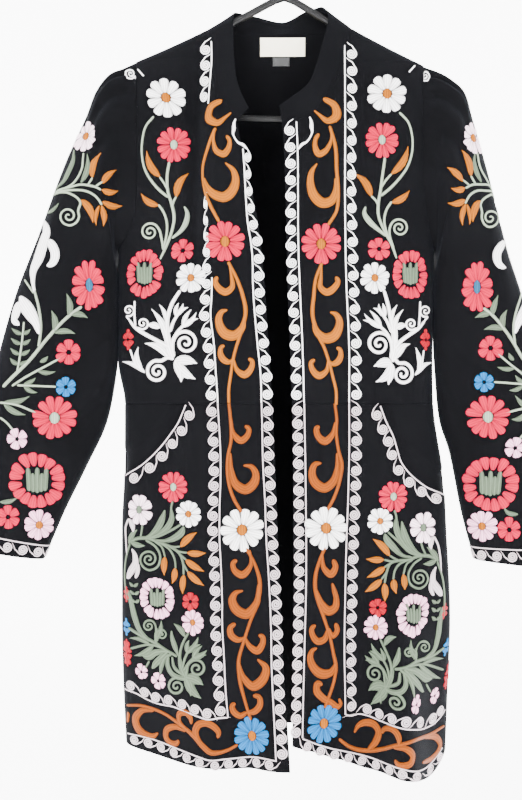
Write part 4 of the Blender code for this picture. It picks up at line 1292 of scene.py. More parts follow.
vines = {
    "upper": [
        [(221.9, 100.6, 6), (210.4, 108, 9), (208.9, 118.5, 11), (216.8, 123, 8), (225.6, 117.2, 4),
         (231, 112.8, 2)],
        [(215.5, 128, 4), (208, 148, 4.4), (203, 170, 4.4), (204.6, 188, 4.2), (209.8, 204, 4),
         (219, 222, 4)],
        [(214.4, 130, 2.4), (213.6, 142, 4), (217, 151.5, 7), (223.4, 154, 8.5), (228.6, 148, 6.5),
         (229.2, 140, 5), (226.2, 135.6, 5.2)],
        [(204.6, 178, 2.4), (208, 188, 7), (215.3, 195, 11), (224.2, 197, 12.4), (232, 191, 12),
         (235.6, 180.3, 9.5), (233, 170, 6.4), (225, 162.8, 2)],
        [(228.3, 262, 4), (237.4, 280, 4.2), (242.6, 295, 4.6), (245.6, 311, 4.8), (242.2, 329, 4.2),
         (236.6, 346, 4), (233.6, 357, 4), (230.8, 375, 3.8), (228.8, 390, 3.8), (228.9, 402.8, 3.8)],
        [(229.6, 264.6, 2.4), (231.7, 277, 4.4), (232, 287.5, 7), (225.8, 292, 9), (218.2, 287.6, 8),
         (215.4, 281, 6), (217.6, 276.6, 5.4)],
        [(244.7, 316, 2.6), (241.5, 329, 8.5), (233.6, 335.6, 12), (225.8, 334, 12.5), (219.8, 325.6, 10.4),
         (219, 317, 8), (222, 311.8, 6), (227.4, 310, 2.4)],
        [(234.4, 358, 2.4), (229.6, 362, 5.6), (224, 360, 8), (220.4, 352.6, 6.4), (221.6, 347, 5),
         (224.6, 345.6, 5)],
        [(233.6, 359, 2.4), (237.6, 370.6, 6), (244.4, 374.6, 9), (251, 368.6, 7), (252, 361, 5.2),
         (248.4, 358.4, 5)]],
    "front_skirt_right": [
        [(228.9, 403.4, 3.8), (230.4, 418, 4), (230.8, 442, 4), (228, 456, 4), (228, 479, 4),
         (233, 497, 4.2), (241.4, 512, 4)],
        [(231, 418, 2.4), (234, 434.4, 6), (240.8, 440.4, 9), (247.4, 435.6, 7), (248.8, 428.4, 5.6),
         (245, 425.6, 5)],
        [(230.4, 453, 2.4), (231.4, 472, 7), (236.6, 485, 10.6), (245.4, 489.4, 12), (254, 483, 11),
         (255.8, 474.3, 8.6), (251.4, 466.6, 6), (243.4, 465.4, 2.4)],
        [(246, 548, 4), (255, 564.7, 4), (259.8, 582.6, 4.8), (258.2, 600.4, 4.6), (250.6, 620.5, 4),
         (244, 640.6, 4), (238.6, 660.7, 4.4), (239.6, 678.6, 4.6), (245, 701, 4), (251, 720, 4)],
        [(249.8, 550, 2.4), (250.4, 566, 5.6), (241.8, 574.8, 9), (234.4, 570, 7), (233.4, 562.4, 5.6),
         (237, 560, 5)],
        [(258.6, 584, 2.6), (256, 604, 8.6), (246.2, 614, 11.6), (235.6, 608.6, 11), (232.4, 598.6, 9),
         (235.6, 593, 6), (243, 590.6, 2.4)],
        [(246, 637, 2.4), (238.3, 639.8, 6.6), (231.4, 635.4, 8), (230.4, 627.6, 6.4), (235.6, 623.4, 5)],
        [(245, 637, 2.4), (249.6, 646, 6.4), (257.2, 650.6, 9), (262.6, 643.8, 7), (262.4, 636.6, 6),
         (258.6, 635, 5)],
        [(238.6, 662, 2.4), (244, 678, 7), (253, 686, 11), (262.6, 680, 11), (266, 668, 8.6),
         (257.6, 659, 2.6)],
        [(247, 712, 5), (240, 715.6, 7), (233.4, 711, 7), (232.4, 705.4, 6), (235.4, 703, 5)],
        [(247, 713, 5), (255.2, 711, 7.4), (260.4, 704, 7.6), (258.8, 696.8, 6.6), (253.2, 695.4, 4.6)],
        [(237.6, 744.4, 3.6), (228.6, 749.4, 4), (219, 752.4, 5), (211.4, 752.6, 6.4), (203.6, 746.6, 7),
         (195.6, 737.4, 6.4), (186.5, 729, 5), (176.3, 721.2, 4.6), (164.8, 713.5, 4.2), (152, 708.2, 4.2),
         (139.3, 705.2, 4), (127.4, 705, 3.4)],
        [(206, 749, 4), (198, 739.6, 7.4), (195.6, 731, 8.4), (198.4, 724.8, 8.4), (205.4, 723, 8),
         (213.4, 726.2, 8), (218.6, 733, 6), (217.6, 738, 3)],
        [(186.5, 728.6, 3), (179.4, 720.4, 6), (179.6, 713.8, 7), (185, 712.2, 7.4), (190.2, 716.8, 7),
         (191.8, 724, 3.4)],
        [(186, 731, 3), (174.4, 726.6, 7), (167.2, 729.4, 8), (166.4, 737, 7.6), (171.8, 743, 7),
         (177.6, 742.8, 6), (179, 739.6, 4)],
        [(154, 710.6, 3), (142, 710.6, 7), (136, 718, 11), (138.2, 728, 11.4), (146, 734.6, 9.6),
         (153.6, 736, 6.6), (158.6, 732.8, 2.6)],
        [(129, 712, 6), (128, 722, 5)]],
    "front_skirt_left": [
        [(334.8, 403.4, 3.6), (336.6, 419, 3.8), (336.2, 433, 3.8), (338.6, 451, 4), (341.6, 464, 4.8),
         (339.9, 479, 4.4), (334.8, 495.6, 4), (327.7, 509.7, 4)],
        [(335.2, 422, 2.4), (332, 435, 6.4), (325, 441.2, 9.6), (317.8, 435.6, 8), (317, 427.8, 6.4),
         (319.6, 426, 5)],
        [(336.9, 453, 2.4), (337, 470, 6.6), (332.4, 482.6, 10), (324.5, 487.8, 11.4), (315.2, 482.6, 11.4),
         (312, 471.4, 8.8), (315.4, 464, 6.6), (321.4, 463.1, 3)],
        [(325.2, 547, 4), (319.4, 561, 4.2), (315.6, 574.7, 4.8), (315, 587, 5), (317.6, 600, 4.6),
         (322.5, 614, 4.2), (326.6, 626, 4), (330.8, 641, 4), (333.4, 654, 4.2), (335.7, 666.5, 4.8),
         (334.4, 678, 4.2), (329.5, 694.6, 4), (324.4, 708, 4)],
        [(322, 553, 2.4), (324.5, 569, 6.6), (330.6, 574.2, 9), (335.4, 566.6, 7), (332.8, 559.4, 5.6)],
        [(316.4, 590, 3), (321.4, 604, 9), (328.8, 610.8, 11.4), (334.6, 608, 9.6), (336.2, 600, 7),
         (334, 590, 5.4), (332, 583, 2.6)],
        [(327, 630, 2.4), (323.8, 639.6, 8), (318, 641.4, 8.4), (312.8, 636, 7), (311.9, 628, 6),
         (315.6, 625, 4.8)],
        [(328.6, 628, 2.4), (333, 636, 6), (337, 630.8, 6.4), (335.3, 623, 5.4)],
        [(335.4, 663, 2.6), (330.8, 672, 9), (321.9, 673.8, 11.4), (313.4, 667.4, 10), (309.8, 657.6, 8),
         (312.3, 650.4, 5.6), (316.8, 648, 2.6)],
        [(322.4, 684.6, 5), (317.4, 683.4, 7.4), (316.4, 690, 9), (322.4, 697.6, 8.4), (331, 702.6, 7.4),
         (338, 706.6, 6.4), (340.4, 703.8, 5), (338.5, 698.4, 3)],
        [(338.6, 738.6, 3.6), (347.4, 745.4, 4.6), (358, 749.4, 5.4), (370, 750.4, 5.4), (384, 748.6, 5),
         (398.4, 745, 4.6), (414, 740.4, 4.4), (430.3, 734, 4.4), (443.6, 725.6, 3.6)],
        [(368, 749.6, 4), (376, 741.4, 9), (379, 732, 9.6), (375.2, 724.8, 9.6), (367, 722.2, 9),
         (358.4, 725.2, 6.6), (354, 732.4, 3)],
        [(399.4, 745, 3), (399, 738, 7.4), (395.6, 731.6, 8), (389.6, 728.2, 7), (383.6, 729.6, 5.6),
         (383, 733.4, 4.6)],
        [(394, 747.6, 3), (406.6, 749.2, 7), (412.6, 756, 8.4), (411, 762.6, 8.4), (404, 765.6, 7.4),
         (397.4, 763.6, 6.4), (395.6, 759.4, 4)],
        [(424, 737.6, 3), (435.4, 737, 8), (439.6, 743.6, 9), (437.4, 751.6, 9), (430.4, 758.8, 7),
         (421.8, 762.6, 4)]]}

# flowers: kind, centre and radius in pixels, petals, squeeze from the side, colours

flowers = {
    "upper": [
        ("daisy", 225, 241.6, 20.4, 12, 0.98, coral, orange),
        ("daisy", 166, 98, 20.5, 10, 1, white, orange),
        ("daisy", 174, 145, 18.4, 12, 0.94, coral, paleSage),
        ("daisy", 191, 278, 15.2, 10, 1, white, orange), ("small", 182.6, 250.8, 11.6, 6, 1, coral, None),
        ("ring", 144.8, 274, 25, 17, 0.78, coral, sage),
        ("small", 128.6, 339.6, 11, 6, 0.55, deepCoral, None)],
    "skirt": [
        ("daisy", 242, 530, 21.4, 11, 1, white, orange),
        ("daisy", 252.4, 735.5, 18.6, 12, 1, skyBlue, orange),
        ("daisy", 173.6, 487, 15.4, 12, 1, coral, paleSage),
        ("daisy", 139.6, 509.6, 15.8, 8, 0.9, palePink, sage),
        ("daisy", 188.6, 514, 13.2, 10, 1, white, orange),
        ("ring", 157.6, 598, 21, 17, 0.92, softPink, sage),
        ("small", 190.8, 601.6, 9, 6, 1, deepCoral, None),
        ("daisy", 193, 622.3, 12, 10, 1, softPink, orange),
        ("small", 142, 671.6, 7.8, 5, 0.9, softPink, None),
        ("small", 158.8, 680.6, 8.2, 5, 1, softPink, None), ("small", 127, 594, 8, 6, 0.5, deepCoral, None),
        ("small", 127, 627, 9, 6, 0.45, skyBlue, None),
        ("daisy", 127.6, 652.5, 14, 10, 0.4, deepCoral, deepCoral)],
    "sleeve": [
        ("daisy", 86.3, 136.4, 16, 10, 1.0, palePink, orange),
        ("daisy", 89.4, 285, 26, 12, 0.60, coral, steel), ("small", 68.9, 352.4, 12.8, 6, 1, coral, None),
        ("small", 66, 387, 10.2, 6, 1, skyBlue, None), ("daisy", 54.6, 418, 22, 12, 1, coral, paleSage),
        ("small", 17.2, 439, 10.4, 5, 1, softPink, None), ("ring", 37.2, 481, 28.5, 16, 1, coral, sage),
        ("small", 8.2, 517, 12, 6, 1, coral, None), ("daisy", 39.4, 525, 15.6, 10, 1, softPink, orange)]}

# stems: knots of x, y and width

stems = {
    "upper": [
        (paleSage, [(154, 116.6, 3.2), (146, 126.6, 3), (142.8, 139, 3), (142.2, 155, 3), (145.4, 170, 3.2),
                    (152.4, 182, 3.4), (160.4, 191, 3.6), (168.6, 197.4, 3.4)]),
        (paleSage, [(169.4, 162, 3.6), (167.2, 177, 3.6), (168, 191, 3.6), (172, 205, 3.8),
                    (174.2, 218, 3.8), (171.4, 233, 3.8), (166, 247, 3.8), (160.4, 259.4, 2.4)]),
        (paleSage, [(158.6, 204.6, 3), (164, 212.8, 3), (167, 223, 3), (166.6, 236, 3), (163.4, 249, 3)]),
        (paleSage, [(159.8, 177, 2.8), (164, 183, 2.8), (168, 190, 3)]),
        (paleSage, [(176.4, 196.6, 2.8), (173.6, 202, 3), (172.2, 208, 3)]),
        (paleSage, [(172, 238.4, 3), (180, 231.8, 4.8), (186, 222, 7), (187, 213, 5.4), (184, 206.6, 2)]),
        (white, [(180.4, 290.4, 4), (171.6, 305, 4.6), (167.4, 320, 5.2), (167, 333.6, 7), (169, 346, 9),
                 (173, 358, 10)]),
        (white, [(168.4, 347, 6), (156, 340, 4.6), (144, 333.4, 4.6), (135, 327, 4.4), (129.6, 320, 3)]),
        (white, [(135.6, 326, 3), (134.8, 313, 2.8), (135, 301, 2.6)]),
        (white, [(169.6, 332, 5), (173.6, 322, 4), (178.6, 313.6, 3.4)]),
        (white, [(172, 342, 5), (178, 331.6, 4), (185, 324, 3.4)]),
        (white, [(137.4, 367.6, 3), (133.6, 359, 2.8), (130.6, 349.6, 2.6)]),
        (white, [(138, 69.6, 2), (144, 76.4, 2)]),
        (white, [(235.6, 119, 1.6), (233.9, 124, 3.6), (233.8, 129, 4.6), (233, 133.6, 2.6),
                 (235, 138.6, 1.8), (238.6, 143, 2.6), (242.6, 144.6, 3.4), (247, 149, 2)])],
    "skirt": [
        (sage, [(173.1, 500.8, 3), (171.6, 507, 2.8), (171.6, 513, 2.6)]),
        (sage, [(142.2, 539, 2), (150, 535.4, 4.4), (157.4, 528.4, 8.4), (162.2, 519, 7.6), (165, 510, 2)]),
        (sage, [(148, 538, 2), (159, 533.8, 5), (167.6, 527.4, 8), (172, 518.6, 7.4), (171.4, 509, 3)]),
        (sage, [(146, 539, 2), (158, 536.4, 3), (170, 531, 3.2), (181, 524.6, 3)]),
        (sage, [(156, 540, 2), (166, 540.6, 4.4), (176, 537.2, 8.4), (182.4, 531.4, 8), (184, 526.4, 3)]),
        (sage, [(142.6, 524.8, 3), (142, 531, 2.8), (141, 537, 2.6)]),
        (sage, [(131, 541.6, 3), (137, 538.6, 4.4), (146, 538, 4.6), (159.7, 542.6, 4), (171.2, 546.9, 3.6),
                (180.2, 554.3, 3.4), (183.4, 563.6, 3.2), (184, 574.8, 2.6)]),
        (sage, [(170, 546.4, 3), (175, 546.8, 2.8), (180.6, 546.4, 2.6)]),
        (sage, [(174, 548.6, 2.8), (180, 551.6, 2.8), (187.4, 552.6, 2.6)]),
        (sage, [(178.6, 553, 2.8), (182.6, 556.4, 2.8), (186.4, 559.8, 2.6)]),
        (sage, [(183, 562.6, 2.8), (185.4, 567, 2.6), (188, 571.6, 2.4)]),
        (sage, [(160, 542.6, 3), (170, 549.6, 3), (174.6, 558, 2.8), (176, 568.4, 2.4)]),
        (sage, [(155, 541.4, 3), (161.6, 546.4, 2.8), (165.4, 557, 2.4)]),
        (sage, [(130.6, 543.6, 3), (126.8, 557, 3), (125.4, 578, 3), (128, 600, 3)]),
        (lilac, [(134, 532, 3), (132.4, 524.6, 7.6), (129.2, 519.6, 3.6), (127, 524, 3), (126.6, 540, 2.8),
                 (127.6, 555, 2.2)]),
        (lilac, [(132.4, 548.6, 2.4), (135.4, 556, 7.4), (135.6, 564, 10), (131.4, 571, 10),
                 (127.8, 578.4, 6)]),
        (lilac, [(136.8, 562, 7), (138, 570.6, 6.4), (136, 578, 4)]),
        (sage, [(128.4, 590, 5), (132, 604, 8), (135.4, 618, 9), (140, 630, 7), (150, 641, 4)]),
        (sage, [(129, 627.6, 4), (141.9, 635.6, 4.4), (154.6, 642.3, 4.4), (167.4, 650.6, 4),
                (177.6, 656.3, 3.6)]),
        (sage, [(179.5, 655.6, 4), (181.4, 666.5, 7), (186.5, 679, 8)]),
        (sage, [(189, 632.6, 3), (184.6, 640, 3.2), (181, 650, 3.4), (180.4, 666.5, 4)]),
        (sage, [(179, 656, 2), (175, 646, 7), (172.4, 637.4, 5.4), (171.8, 630.6, 2)]),
        (sage, [(182.6, 668, 3.4), (185, 659, 3.2), (189, 650, 3.4)]),
        (sage, [(184, 671, 3.4), (188, 664, 3.2), (194.6, 657, 3.4)]),
        (sage, [(169, 656, 3), (167.8, 664, 6), (172.6, 674, 6.6), (180, 677.6, 6), (187, 678.6, 5)]),
        (sage, [(172.6, 656.6, 2.6), (174.6, 667, 4.4), (184.6, 675.6, 4)]),
        (sage, [(165, 648.6, 3), (150, 644.6, 3), (131, 648.4, 3)]),
        (sage, [(167, 651, 4), (156, 652.4, 8), (148, 656.4, 9), (143.4, 656, 3)]),
        (sage, [(168, 652, 4), (161.4, 658, 8), (155, 664.6, 7), (152.6, 668.4, 3)]),
        (sage, [(172, 654, 3), (165.6, 657.6, 4.6), (162.6, 663, 6.4), (160.6, 674, 2.6)]),
        (sage, [(149.6, 661, 2.8), (145.6, 668.4, 2.6)]),
        (sage, [(157, 643.6, 3), (155.6, 637, 3), (157.4, 628, 2.8)])],
    "sleeve": [
        (paleSage, [(83.8, 153, 2.8), (81.8, 168.8, 3), (71.7, 184.6, 3), (54.5, 195.4, 3)]),
        (paleSage, [(53, 195.6, 3), (68, 187.6, 3), (80, 184.6, 3), (92, 186, 3), (101, 190, 2.8)]),
        (paleSage, [(60, 192, 3), (74, 190, 3), (86, 191, 3), (96, 196.6, 3), (102, 205, 2.8)]),
        (paleSage, [(88, 184.6, 2.8), (92.4, 177.6, 2.8)]),
        (paleSage, [(95.6, 186.4, 2.6), (102.4, 181.8, 2.6)]),
        (sage, [(56, 190.6, 2), (62.4, 182, 6), (68.8, 171, 8), (72.8, 161, 7), (74.4, 150, 2)]),
        (white, [(43.8, 221, 3), (46, 229, 13), (43.6, 239, 17), (40.8, 249, 18), (37.4, 259, 17),
                 (33.6, 269, 12.6), (32.6, 278, 7), (33.4, 286, 4.4), (34.6, 292, 3.4)]),
        (white, [(48, 240, 10), (53.4, 247.6, 11), (55.2, 256, 11), (52, 263.4, 8.4), (47, 266, 4)]),
        (white, [(19.8, 296.4, 5), (24.4, 304.6, 16), (30.2, 313.4, 16), (35.8, 323, 10),
                 (39.4, 334, 4.4)]),
        (white, [(19.6, 302, 13), (15.6, 312.6, 14), (14.6, 320.6, 9), (19.4, 325, 4)]),
        (paleSage, [(24.6, 279.6, 2.8), (29, 286, 2.8), (33.8, 293, 3)]),
        (paleSage, [(34.4, 290, 3.2), (38.4, 306, 3.4), (40.8, 325, 3.4), (38.6, 346.6, 3.4)]),
        (paleSage, [(81.8, 306.5, 4), (66, 318.4, 4), (48.8, 336.6, 4.2), (28.7, 361, 4.4),
                    (2.9, 387, 4.6)]),
        (paleSage, [(60.8, 358, 2.6), (46, 366, 2.8), (28.7, 375.4, 3), (12, 386, 3)]),
        (paleSage, [(56, 386.8, 2.6), (38, 386, 2.8), (17.2, 385.4, 3)]),
        (paleSage, [(35.9, 412.7, 2.8), (14.3, 404.4, 3), (0, 402.6, 3)]),
        (paleSage, [(12.9, 430, 2.6), (6.6, 422.6, 2.6), (0, 417.4, 2.6)]),
        (paleSage, [(24, 322, 2.8), (21.6, 345, 2.8), (17.2, 372, 2.8)])]}

# leaves: colour, base, tip, width and bow

leaves = {
    "upper": [
        (orange, (160, 177), (147, 151), 9.4, -0.12), (orange, (176.4, 197), (188.4, 173.4), 9.6, -0.14),
        (orange, (158.6, 205.6), (141.4, 193.4), 8.4, -0.14),
        (white, (167, 343), (151.6, 309), 8, 0.1), (white, (160, 328), (147, 325), 8, 0.1),
        (white, (166.6, 323), (159.4, 304.4), 5.6, 0.1), (white, (168, 357), (145, 343.4), 9, 0.14),
        (white, (145, 372.6), (122.8, 361.6), 6.6, 0.1), (white, (142.4, 370), (138.8, 347), 8, -0.16)],
    "skirt": [
        (orange, (180.8, 546.7), (197, 532.4), 9, -0.06), (orange, (187.4, 552.6), (206, 553), 8, 0.05),
        (orange, (186, 559.6), (204.3, 571.4), 8.6, 0.05),
        (orange, (187.8, 571.6), (204.2, 585.6), 8.6, 0.05), (orange, (184.4, 575), (183, 594), 8.4, 0.05),
        (orange, (175.4, 568), (172.4, 583.6), 8.4, -0.05),
        (orange, (165.5, 557), (164.6, 575.4), 8.6, 0.05), (sage, (129.6, 543.6), (137.6, 529.6), 8, -0.1),
        (sage, (131, 542), (145.4, 545.6), 7, 0.08), (sage, (156, 640), (161.6, 620.6), 7, 0.1),
        (sage, (185.2, 636.6), (174, 623.4), 7.4, 0.08), (sage, (154, 645), (134.6, 655.6), 7, -0.1),
        (sage, (150, 644), (130, 638), 6, 0.1)],
    "sleeve": [
        (sage, (81, 182.6), (87, 153.6), 7.6, 0.12),
        (sage, (47, 213), (58.6, 203), 6, 0.1),
        (orange, (92.4, 177.6), (101, 152.8), 9.4, -0.12),
        (orange, (102.6, 183.4), (116.6, 169.8), 8, -0.12),
        (orange, (101.8, 189.6), (118.4, 190.6), 7.8, 0.14),
        (orange, (102.6, 201.6), (122.4, 205.8), 8.4, 0.12),
        (orange, (101.4, 205.6), (103.4, 226.4), 7, -0.1), (orange, (99.4, 205.6), (96.4, 225.6), 5.6, 0.1),
        (orange, (81.2, 200), (93, 222.8), 9.6, -0.14), (sage, (68.9, 316.6), (66.4, 293.4), 7.6, 0.1),
        (sage, (71.7, 315), (87.8, 318), 7.4, -0.14), (sage, (54.5, 332), (51.4, 310.4), 8, 0.1),
        (sage, (55, 333), (75.4, 333.8), 7.2, -0.12), (sage, (40, 362), (48, 356), 5.6, 0.1),
        (sage, (38, 371), (55.6, 371.4), 5.6, 0.1), (sage, (24, 384), (35.6, 377.6), 5.6, 0.1),
        (sage, (24, 386.6), (37.6, 392.6), 5.6, 0.1), (sage, (4, 402), (29.6, 396), 7.4, 0.1),
        (sage, (4, 404), (25.8, 414.8), 7.4, 0.1), (sage, (0, 502), (17.4, 497.6), 6, 0.1)]}

# fans of leaves for buds, lobed leaves and ferns: colour, base, width, tips

fans = {
    "upper": [
        (white, (175, 361), 12, [(197, 363.6), (195.4, 379), (181.2, 382)]),
        (white, (176, 316), 5.4, [(178.8, 303), (183.4, 303.6), (188.4, 307.4)]),
        (white, (183, 327), 5.6, [(191.4, 309.6), (196.4, 312.4), (198.4, 318.6)])],
    "skirt": [
        (sage, (186, 677), 12.6, [(203.4, 685), (201.4, 698.4), (191, 696)]),
        (sage, (187.6, 653), 6.4, [(189.4, 640), (198.4, 637), (200.8, 644.4)]),
        (sage, (193, 658.6), 6.4, [(202.4, 645.6), (207, 650), (206.6, 655)]),
        (sage, (134, 586), 4.6, [(130, 582), (138.6, 583)]),
        (sage, (135, 594), 4.6, [(130.4, 590), (139.6, 591)]),
        (sage, (135.6, 602), 4.6, [(131, 598), (140, 599.4)])],
    "sleeve": [
        (sage, (22.4, 334), 5.4, [(11.6, 328), (30.6, 329)]),
        (sage, (21.4, 344), 5.4, [(11, 338), (30.6, 339)]),
        (sage, (20, 354.4), 5.4, [(10.4, 348), (30, 349.4)]),
        (sage, (18.6, 364.4), 5.4, [(10, 358), (28, 360)])]}

# spirals: colour, centre, radius, turns, where the outer end stands in degrees, direction, tail, width

spirals = {
    "upper": [
        (paleSage, (150, 232), 9.4, 2.1, 20, -1, [(161.6, 238), (163.6, 250)], 3),
        (white, (185.8, 342.8), 12.6, 2.1, 172, 1, [(172.6, 352)], 4.4),
        (white, (157.6, 371.6), 11.6, 2.1, 70, -1, [(168, 357.6), (174, 359)], 4.4),
        (white, (143, 323.4), 6.4, 1.8, 225, -1, [(141, 331)], 2.8),
        (white, (129.2, 310.4), 6.2, 1.8, 250, -1, [(130, 320)], 2.6)],
    "skirt": [
        (sage, (149.2, 559), 8.6, 2.0, 185, 1,
         [(143, 566), (149.6, 570), (157.6, 566.6), (160.4, 557), (155, 546), (146, 540)], 3),
        (sage, (149.2, 625.8), 6.4, 1.9, 10, -1, [(156.6, 634), (158, 641)], 2.8),
        (sage, (162.2, 634.6), 5.6, 1.9, 180, 1, [(155.6, 640), (157, 645)], 2.6),
        (sage, (197, 668.4), 9.8, 2.0, 190, 1, [(186.6, 677)], 3.6),
        (sage, (177, 686.4), 9.2, 2.0, 70, -1, [(187, 680)], 3.6)],
    "sleeve": [
        (paleSage, (68.6, 216), 11, 2.1, 30, 1, [(80.4, 203), (70, 193.6), (56, 194)], 3),
        (white, (130.6, 73.6), 5.4, 2.2, 330, 1, [(134.6, 79)], 2)]}

# where each place of the right half's design is found on the left half

frontAnchors = table(
    "x y toX toY",
    (216, 112, 329, 110), (203, 170, 336.5, 170), (224, 197, 323, 203), (225, 241.6, 321, 244),
    (224, 286, 328, 286), (246, 311, 312, 313), (229, 325, 329, 328), (225, 354, 336, 356),
    (245, 368, 318.5, 369), (229, 396, 336, 398), (241, 434, 324, 434), (245, 480, 323, 478),
    (242, 530, 326, 528), (241, 568, 331, 566), (243, 605, 330, 602), (239, 661, 334, 659),
    (255, 674, 324, 667), (240, 708, 326, 699), (252.4, 735.5, 324, 723), (166, 98, 387, 94),
    (174, 145, 382, 140), (150, 232, 399, 228), (182.6, 250.8, 379, 249), (144.8, 274, 410, 274.5),
    (191, 278, 375, 278), (185.8, 342.8, 379, 344), (157.6, 371.6, 402, 374), (143, 323.4, 411, 324),
    (128.6, 339.6, 425, 340), (190, 370, 382, 373), (174, 487, 393, 496.5), (139.6, 510, 423, 528),
    (188.6, 514, 380, 521), (150.2, 559, 418, 578), (157.6, 598, 413.5, 615), (190.8, 601.6, 378, 607),
    (193, 622.3, 376, 627), (151.4, 626, 422, 648), (162.6, 635, 408, 653), (197, 668.4, 375, 673),
    (177, 686.4, 396, 703), (142, 672, 434, 696), (158.6, 680.4, 416, 705), (196, 690, 376, 695),
    (205, 554, 367, 560), (183.6, 592, 384, 600), (208, 733, 366, 735), (185, 719, 390, 733),
    (172, 736, 404, 758), (142, 722, 431, 748), (214, 754, 352, 749))
sleeveAnchors = table(
    "x y toX toY",
    (130.6, 73.6, 425, 76), (86.5, 137, 473, 139), (68.6, 216, 490, 218), (101, 153, 462, 150),
    (122, 205.8, 448, 203), (93, 222.8, 473, 222), (50, 250, 502, 252), (89.4, 285, 477, 287),
    (68.9, 352.4, 490.5, 348), (66, 387, 484, 382), (54.6, 418, 488, 417), (17.2, 439, 515, 448),
    (37.2, 481, 490.5, 484), (39.4, 525, 482, 526), (8.2, 517, 509, 530), (21, 345, 532, 345))

# the white borders: the line's pixels, the side of it that the discs stand on, 1 for its left,
# their pitch in pixels and gap to the line, the first discs' narrowing, the length of line that is
# hidden, and the discs' radius where it isn't the usual one

frontBorders = {
    "front_upper_right": [
        ([(211.4, 42), (211.6, 62), (210, 84), (208.6, 104)], -1, 17.6, -1.4, (), 0),
        ([(207.6, 196), (208.4, 222), (210.4, 250), (212, 279), (211.4, 301), (210.6, 314), (211.8, 327),
          (213.6, 340), (215.4, 365), (217.2, 391), (217.8, 402.8)], -1, 16.4, -1.4,
          (0.4, 0.45, 0.5, 0.65, 0.8, 0.9), 106),
        ([(243, 149), (244.2, 166), (246, 200), (248, 225), (251.2, 244), (252.7, 263), (252.8, 282),
          (253.8, 302), (255.3, 321), (257.6, 346), (260.8, 378), (261.4, 402.8)], 1, 16.9, -1.4,
          (0.65, 0.55, 0.6, 0.7, 0.85), 0)],
    "front_upper_left": [
        ([(344.5, 46), (345, 130), (345, 220), (346.5, 290), (349, 350), (349, 402.8)], 1, 17.1, 0, (), 0),
        ([(296.4, 122), (297.6, 150), (298, 200), (298.2, 240), (300, 289), (302.3, 340), (303.3, 372),
          (304, 402.8)],
         -1, 16.2, 0, (), 0)],
    "front_skirt_right": [
        ([(217.8, 403.4), (219, 424), (220.4, 451), (220.6, 480), (219.6, 510), (219.6, 540), (221, 566),
          (222.2, 600), (222.4, 628), (223.9, 654), (225.8, 692), (228, 717.5)], -1, 14.95, -0.8, (), 0),
        ([(261.6, 403.4), (262.4, 440), (263, 464), (265, 502), (266.3, 540), (268.8, 579), (271, 628),
          (271.7, 666), (274.5, 724), (276.2, 761)], 1, 14.82, -1.4, (), 0),
        ([(185.9, 405), (182.6, 413), (178.9, 421.7), (170, 435), (161, 446.6), (150.8, 457.4),
          (139.3, 467), (126.4, 475.3)], 1, 15.3, 0, (), 0),
        ([(227.4, 717.6), (218.4, 718.2), (208.2, 719.5), (199.3, 716.9), (186.5, 711.8), (173.8, 706.7),
          (161, 704.2), (148.3, 699.7), (135.5, 692.7), (125.4, 688.4)], -1, 13.2, -1.4, (0.1,), 0, 7.4),
        ([(277, 761), (263, 758.1), (243.9, 757), (224.8, 759), (209.5, 760.3), (199.3, 757), (186.5, 752),
          (173.8, 746.9), (161, 741.8), (141.9, 736), (128.4, 733)], 1, 14, -1.6, (), 0, 7.0)],
    "front_skirt_left": [
        ([(349, 403.4), (349.2, 450), (347.9, 502), (346.4, 540), (345.1, 591), (344.2, 654), (344.8, 692),
          (345, 714.4)], 1, 14.63, 0, (), 0),
        ([(304.2, 403.4), (305.4, 470), (305.9, 590), (304.3, 647), (303.4, 679), (302.1, 738)], -1, 13.59,
         -0.4, (), 0),
        ([(380.2, 406), (386.6, 423), (392.3, 434.4), (396.8, 448.5), (400.6, 461.2), (407.6, 471.4),
          (417.8, 481), (428, 488), (437, 491.8), (443.6, 495)], -1, 15.2, -0.8, (), 0),
        ([(345.4, 714.4), (350, 715.6), (358.9, 713.7), (366.5, 715), (379.3, 720), (392, 725.2),
          (404.8, 729), (411.2, 729.7), (423.9, 728.4), (432.9, 723.9), (439.2, 717.6), (444.4, 709.4)], 1,
          14, -1, (0.1,), 0, 7.6),
        ([(302.1, 738.6), (315.5, 743.7), (328.3, 747.6), (341, 750.4), (353.8, 753), (366.5, 756),
          (379.3, 760.4), (392, 765.6), (404.8, 769.6), (412.4, 771.2), (419, 770.8), (426.8, 766.6),
          (436, 756), (441.6, 747.6)],
         -1, 13.6, -1.6, (), 0, 7.0)]}


def stitchRegion(work, region):
    for knots in vines.get(region, []):
        work.band(knots, orange, round(knots[-1][1]) != 403)
    for color, knots in stems[region]:
        work.band(knots, color)
    for color, base, tip, width, bow in leaves[region]:
        work.leaf(base, tip, width, color, bow)
    for color, base, width, tips in fans[region]:
        work.fan(base, tips, width, color)
    for color, center, radius, turns, endAngle, way, tail, width in spirals[region]:
        work.spiral(center, radius, turns, endAngle, way, color, tail, width)
    for kind, x, y, radius, count, squeeze, color, core in flowers[region]:
        if kind == "daisy":
            work.petals((x, y), radius, count, color, 0.26, squeeze)
            work.disc((x, y), radius * 0.27, core, squeeze)
        elif kind == "ring":
            work.petals((x, y), radius, count, color, 0.53, squeeze, 1.2)
            # five upright bands side by side, the second and fourth of them shorter
            size = radius * 0.42
            for shift in (-2, -1, 0, 1, 2):
                top = size * (0.66 if shift % 2 else 1.12)
                at = [x + shift * size * 0.38 * squeeze * grow for grow in (0.86, 0.9, 1.04)]
                work.band([(at[0], y + size * (1 - 0.08 * abs(shift)), size * 0.5), (at[1], y, size * 0.54),
                           (at[2], y - top, size * 0.4)], core)
        else:
            work.petals((x, y), radius, count, color, 0.2, squeeze)


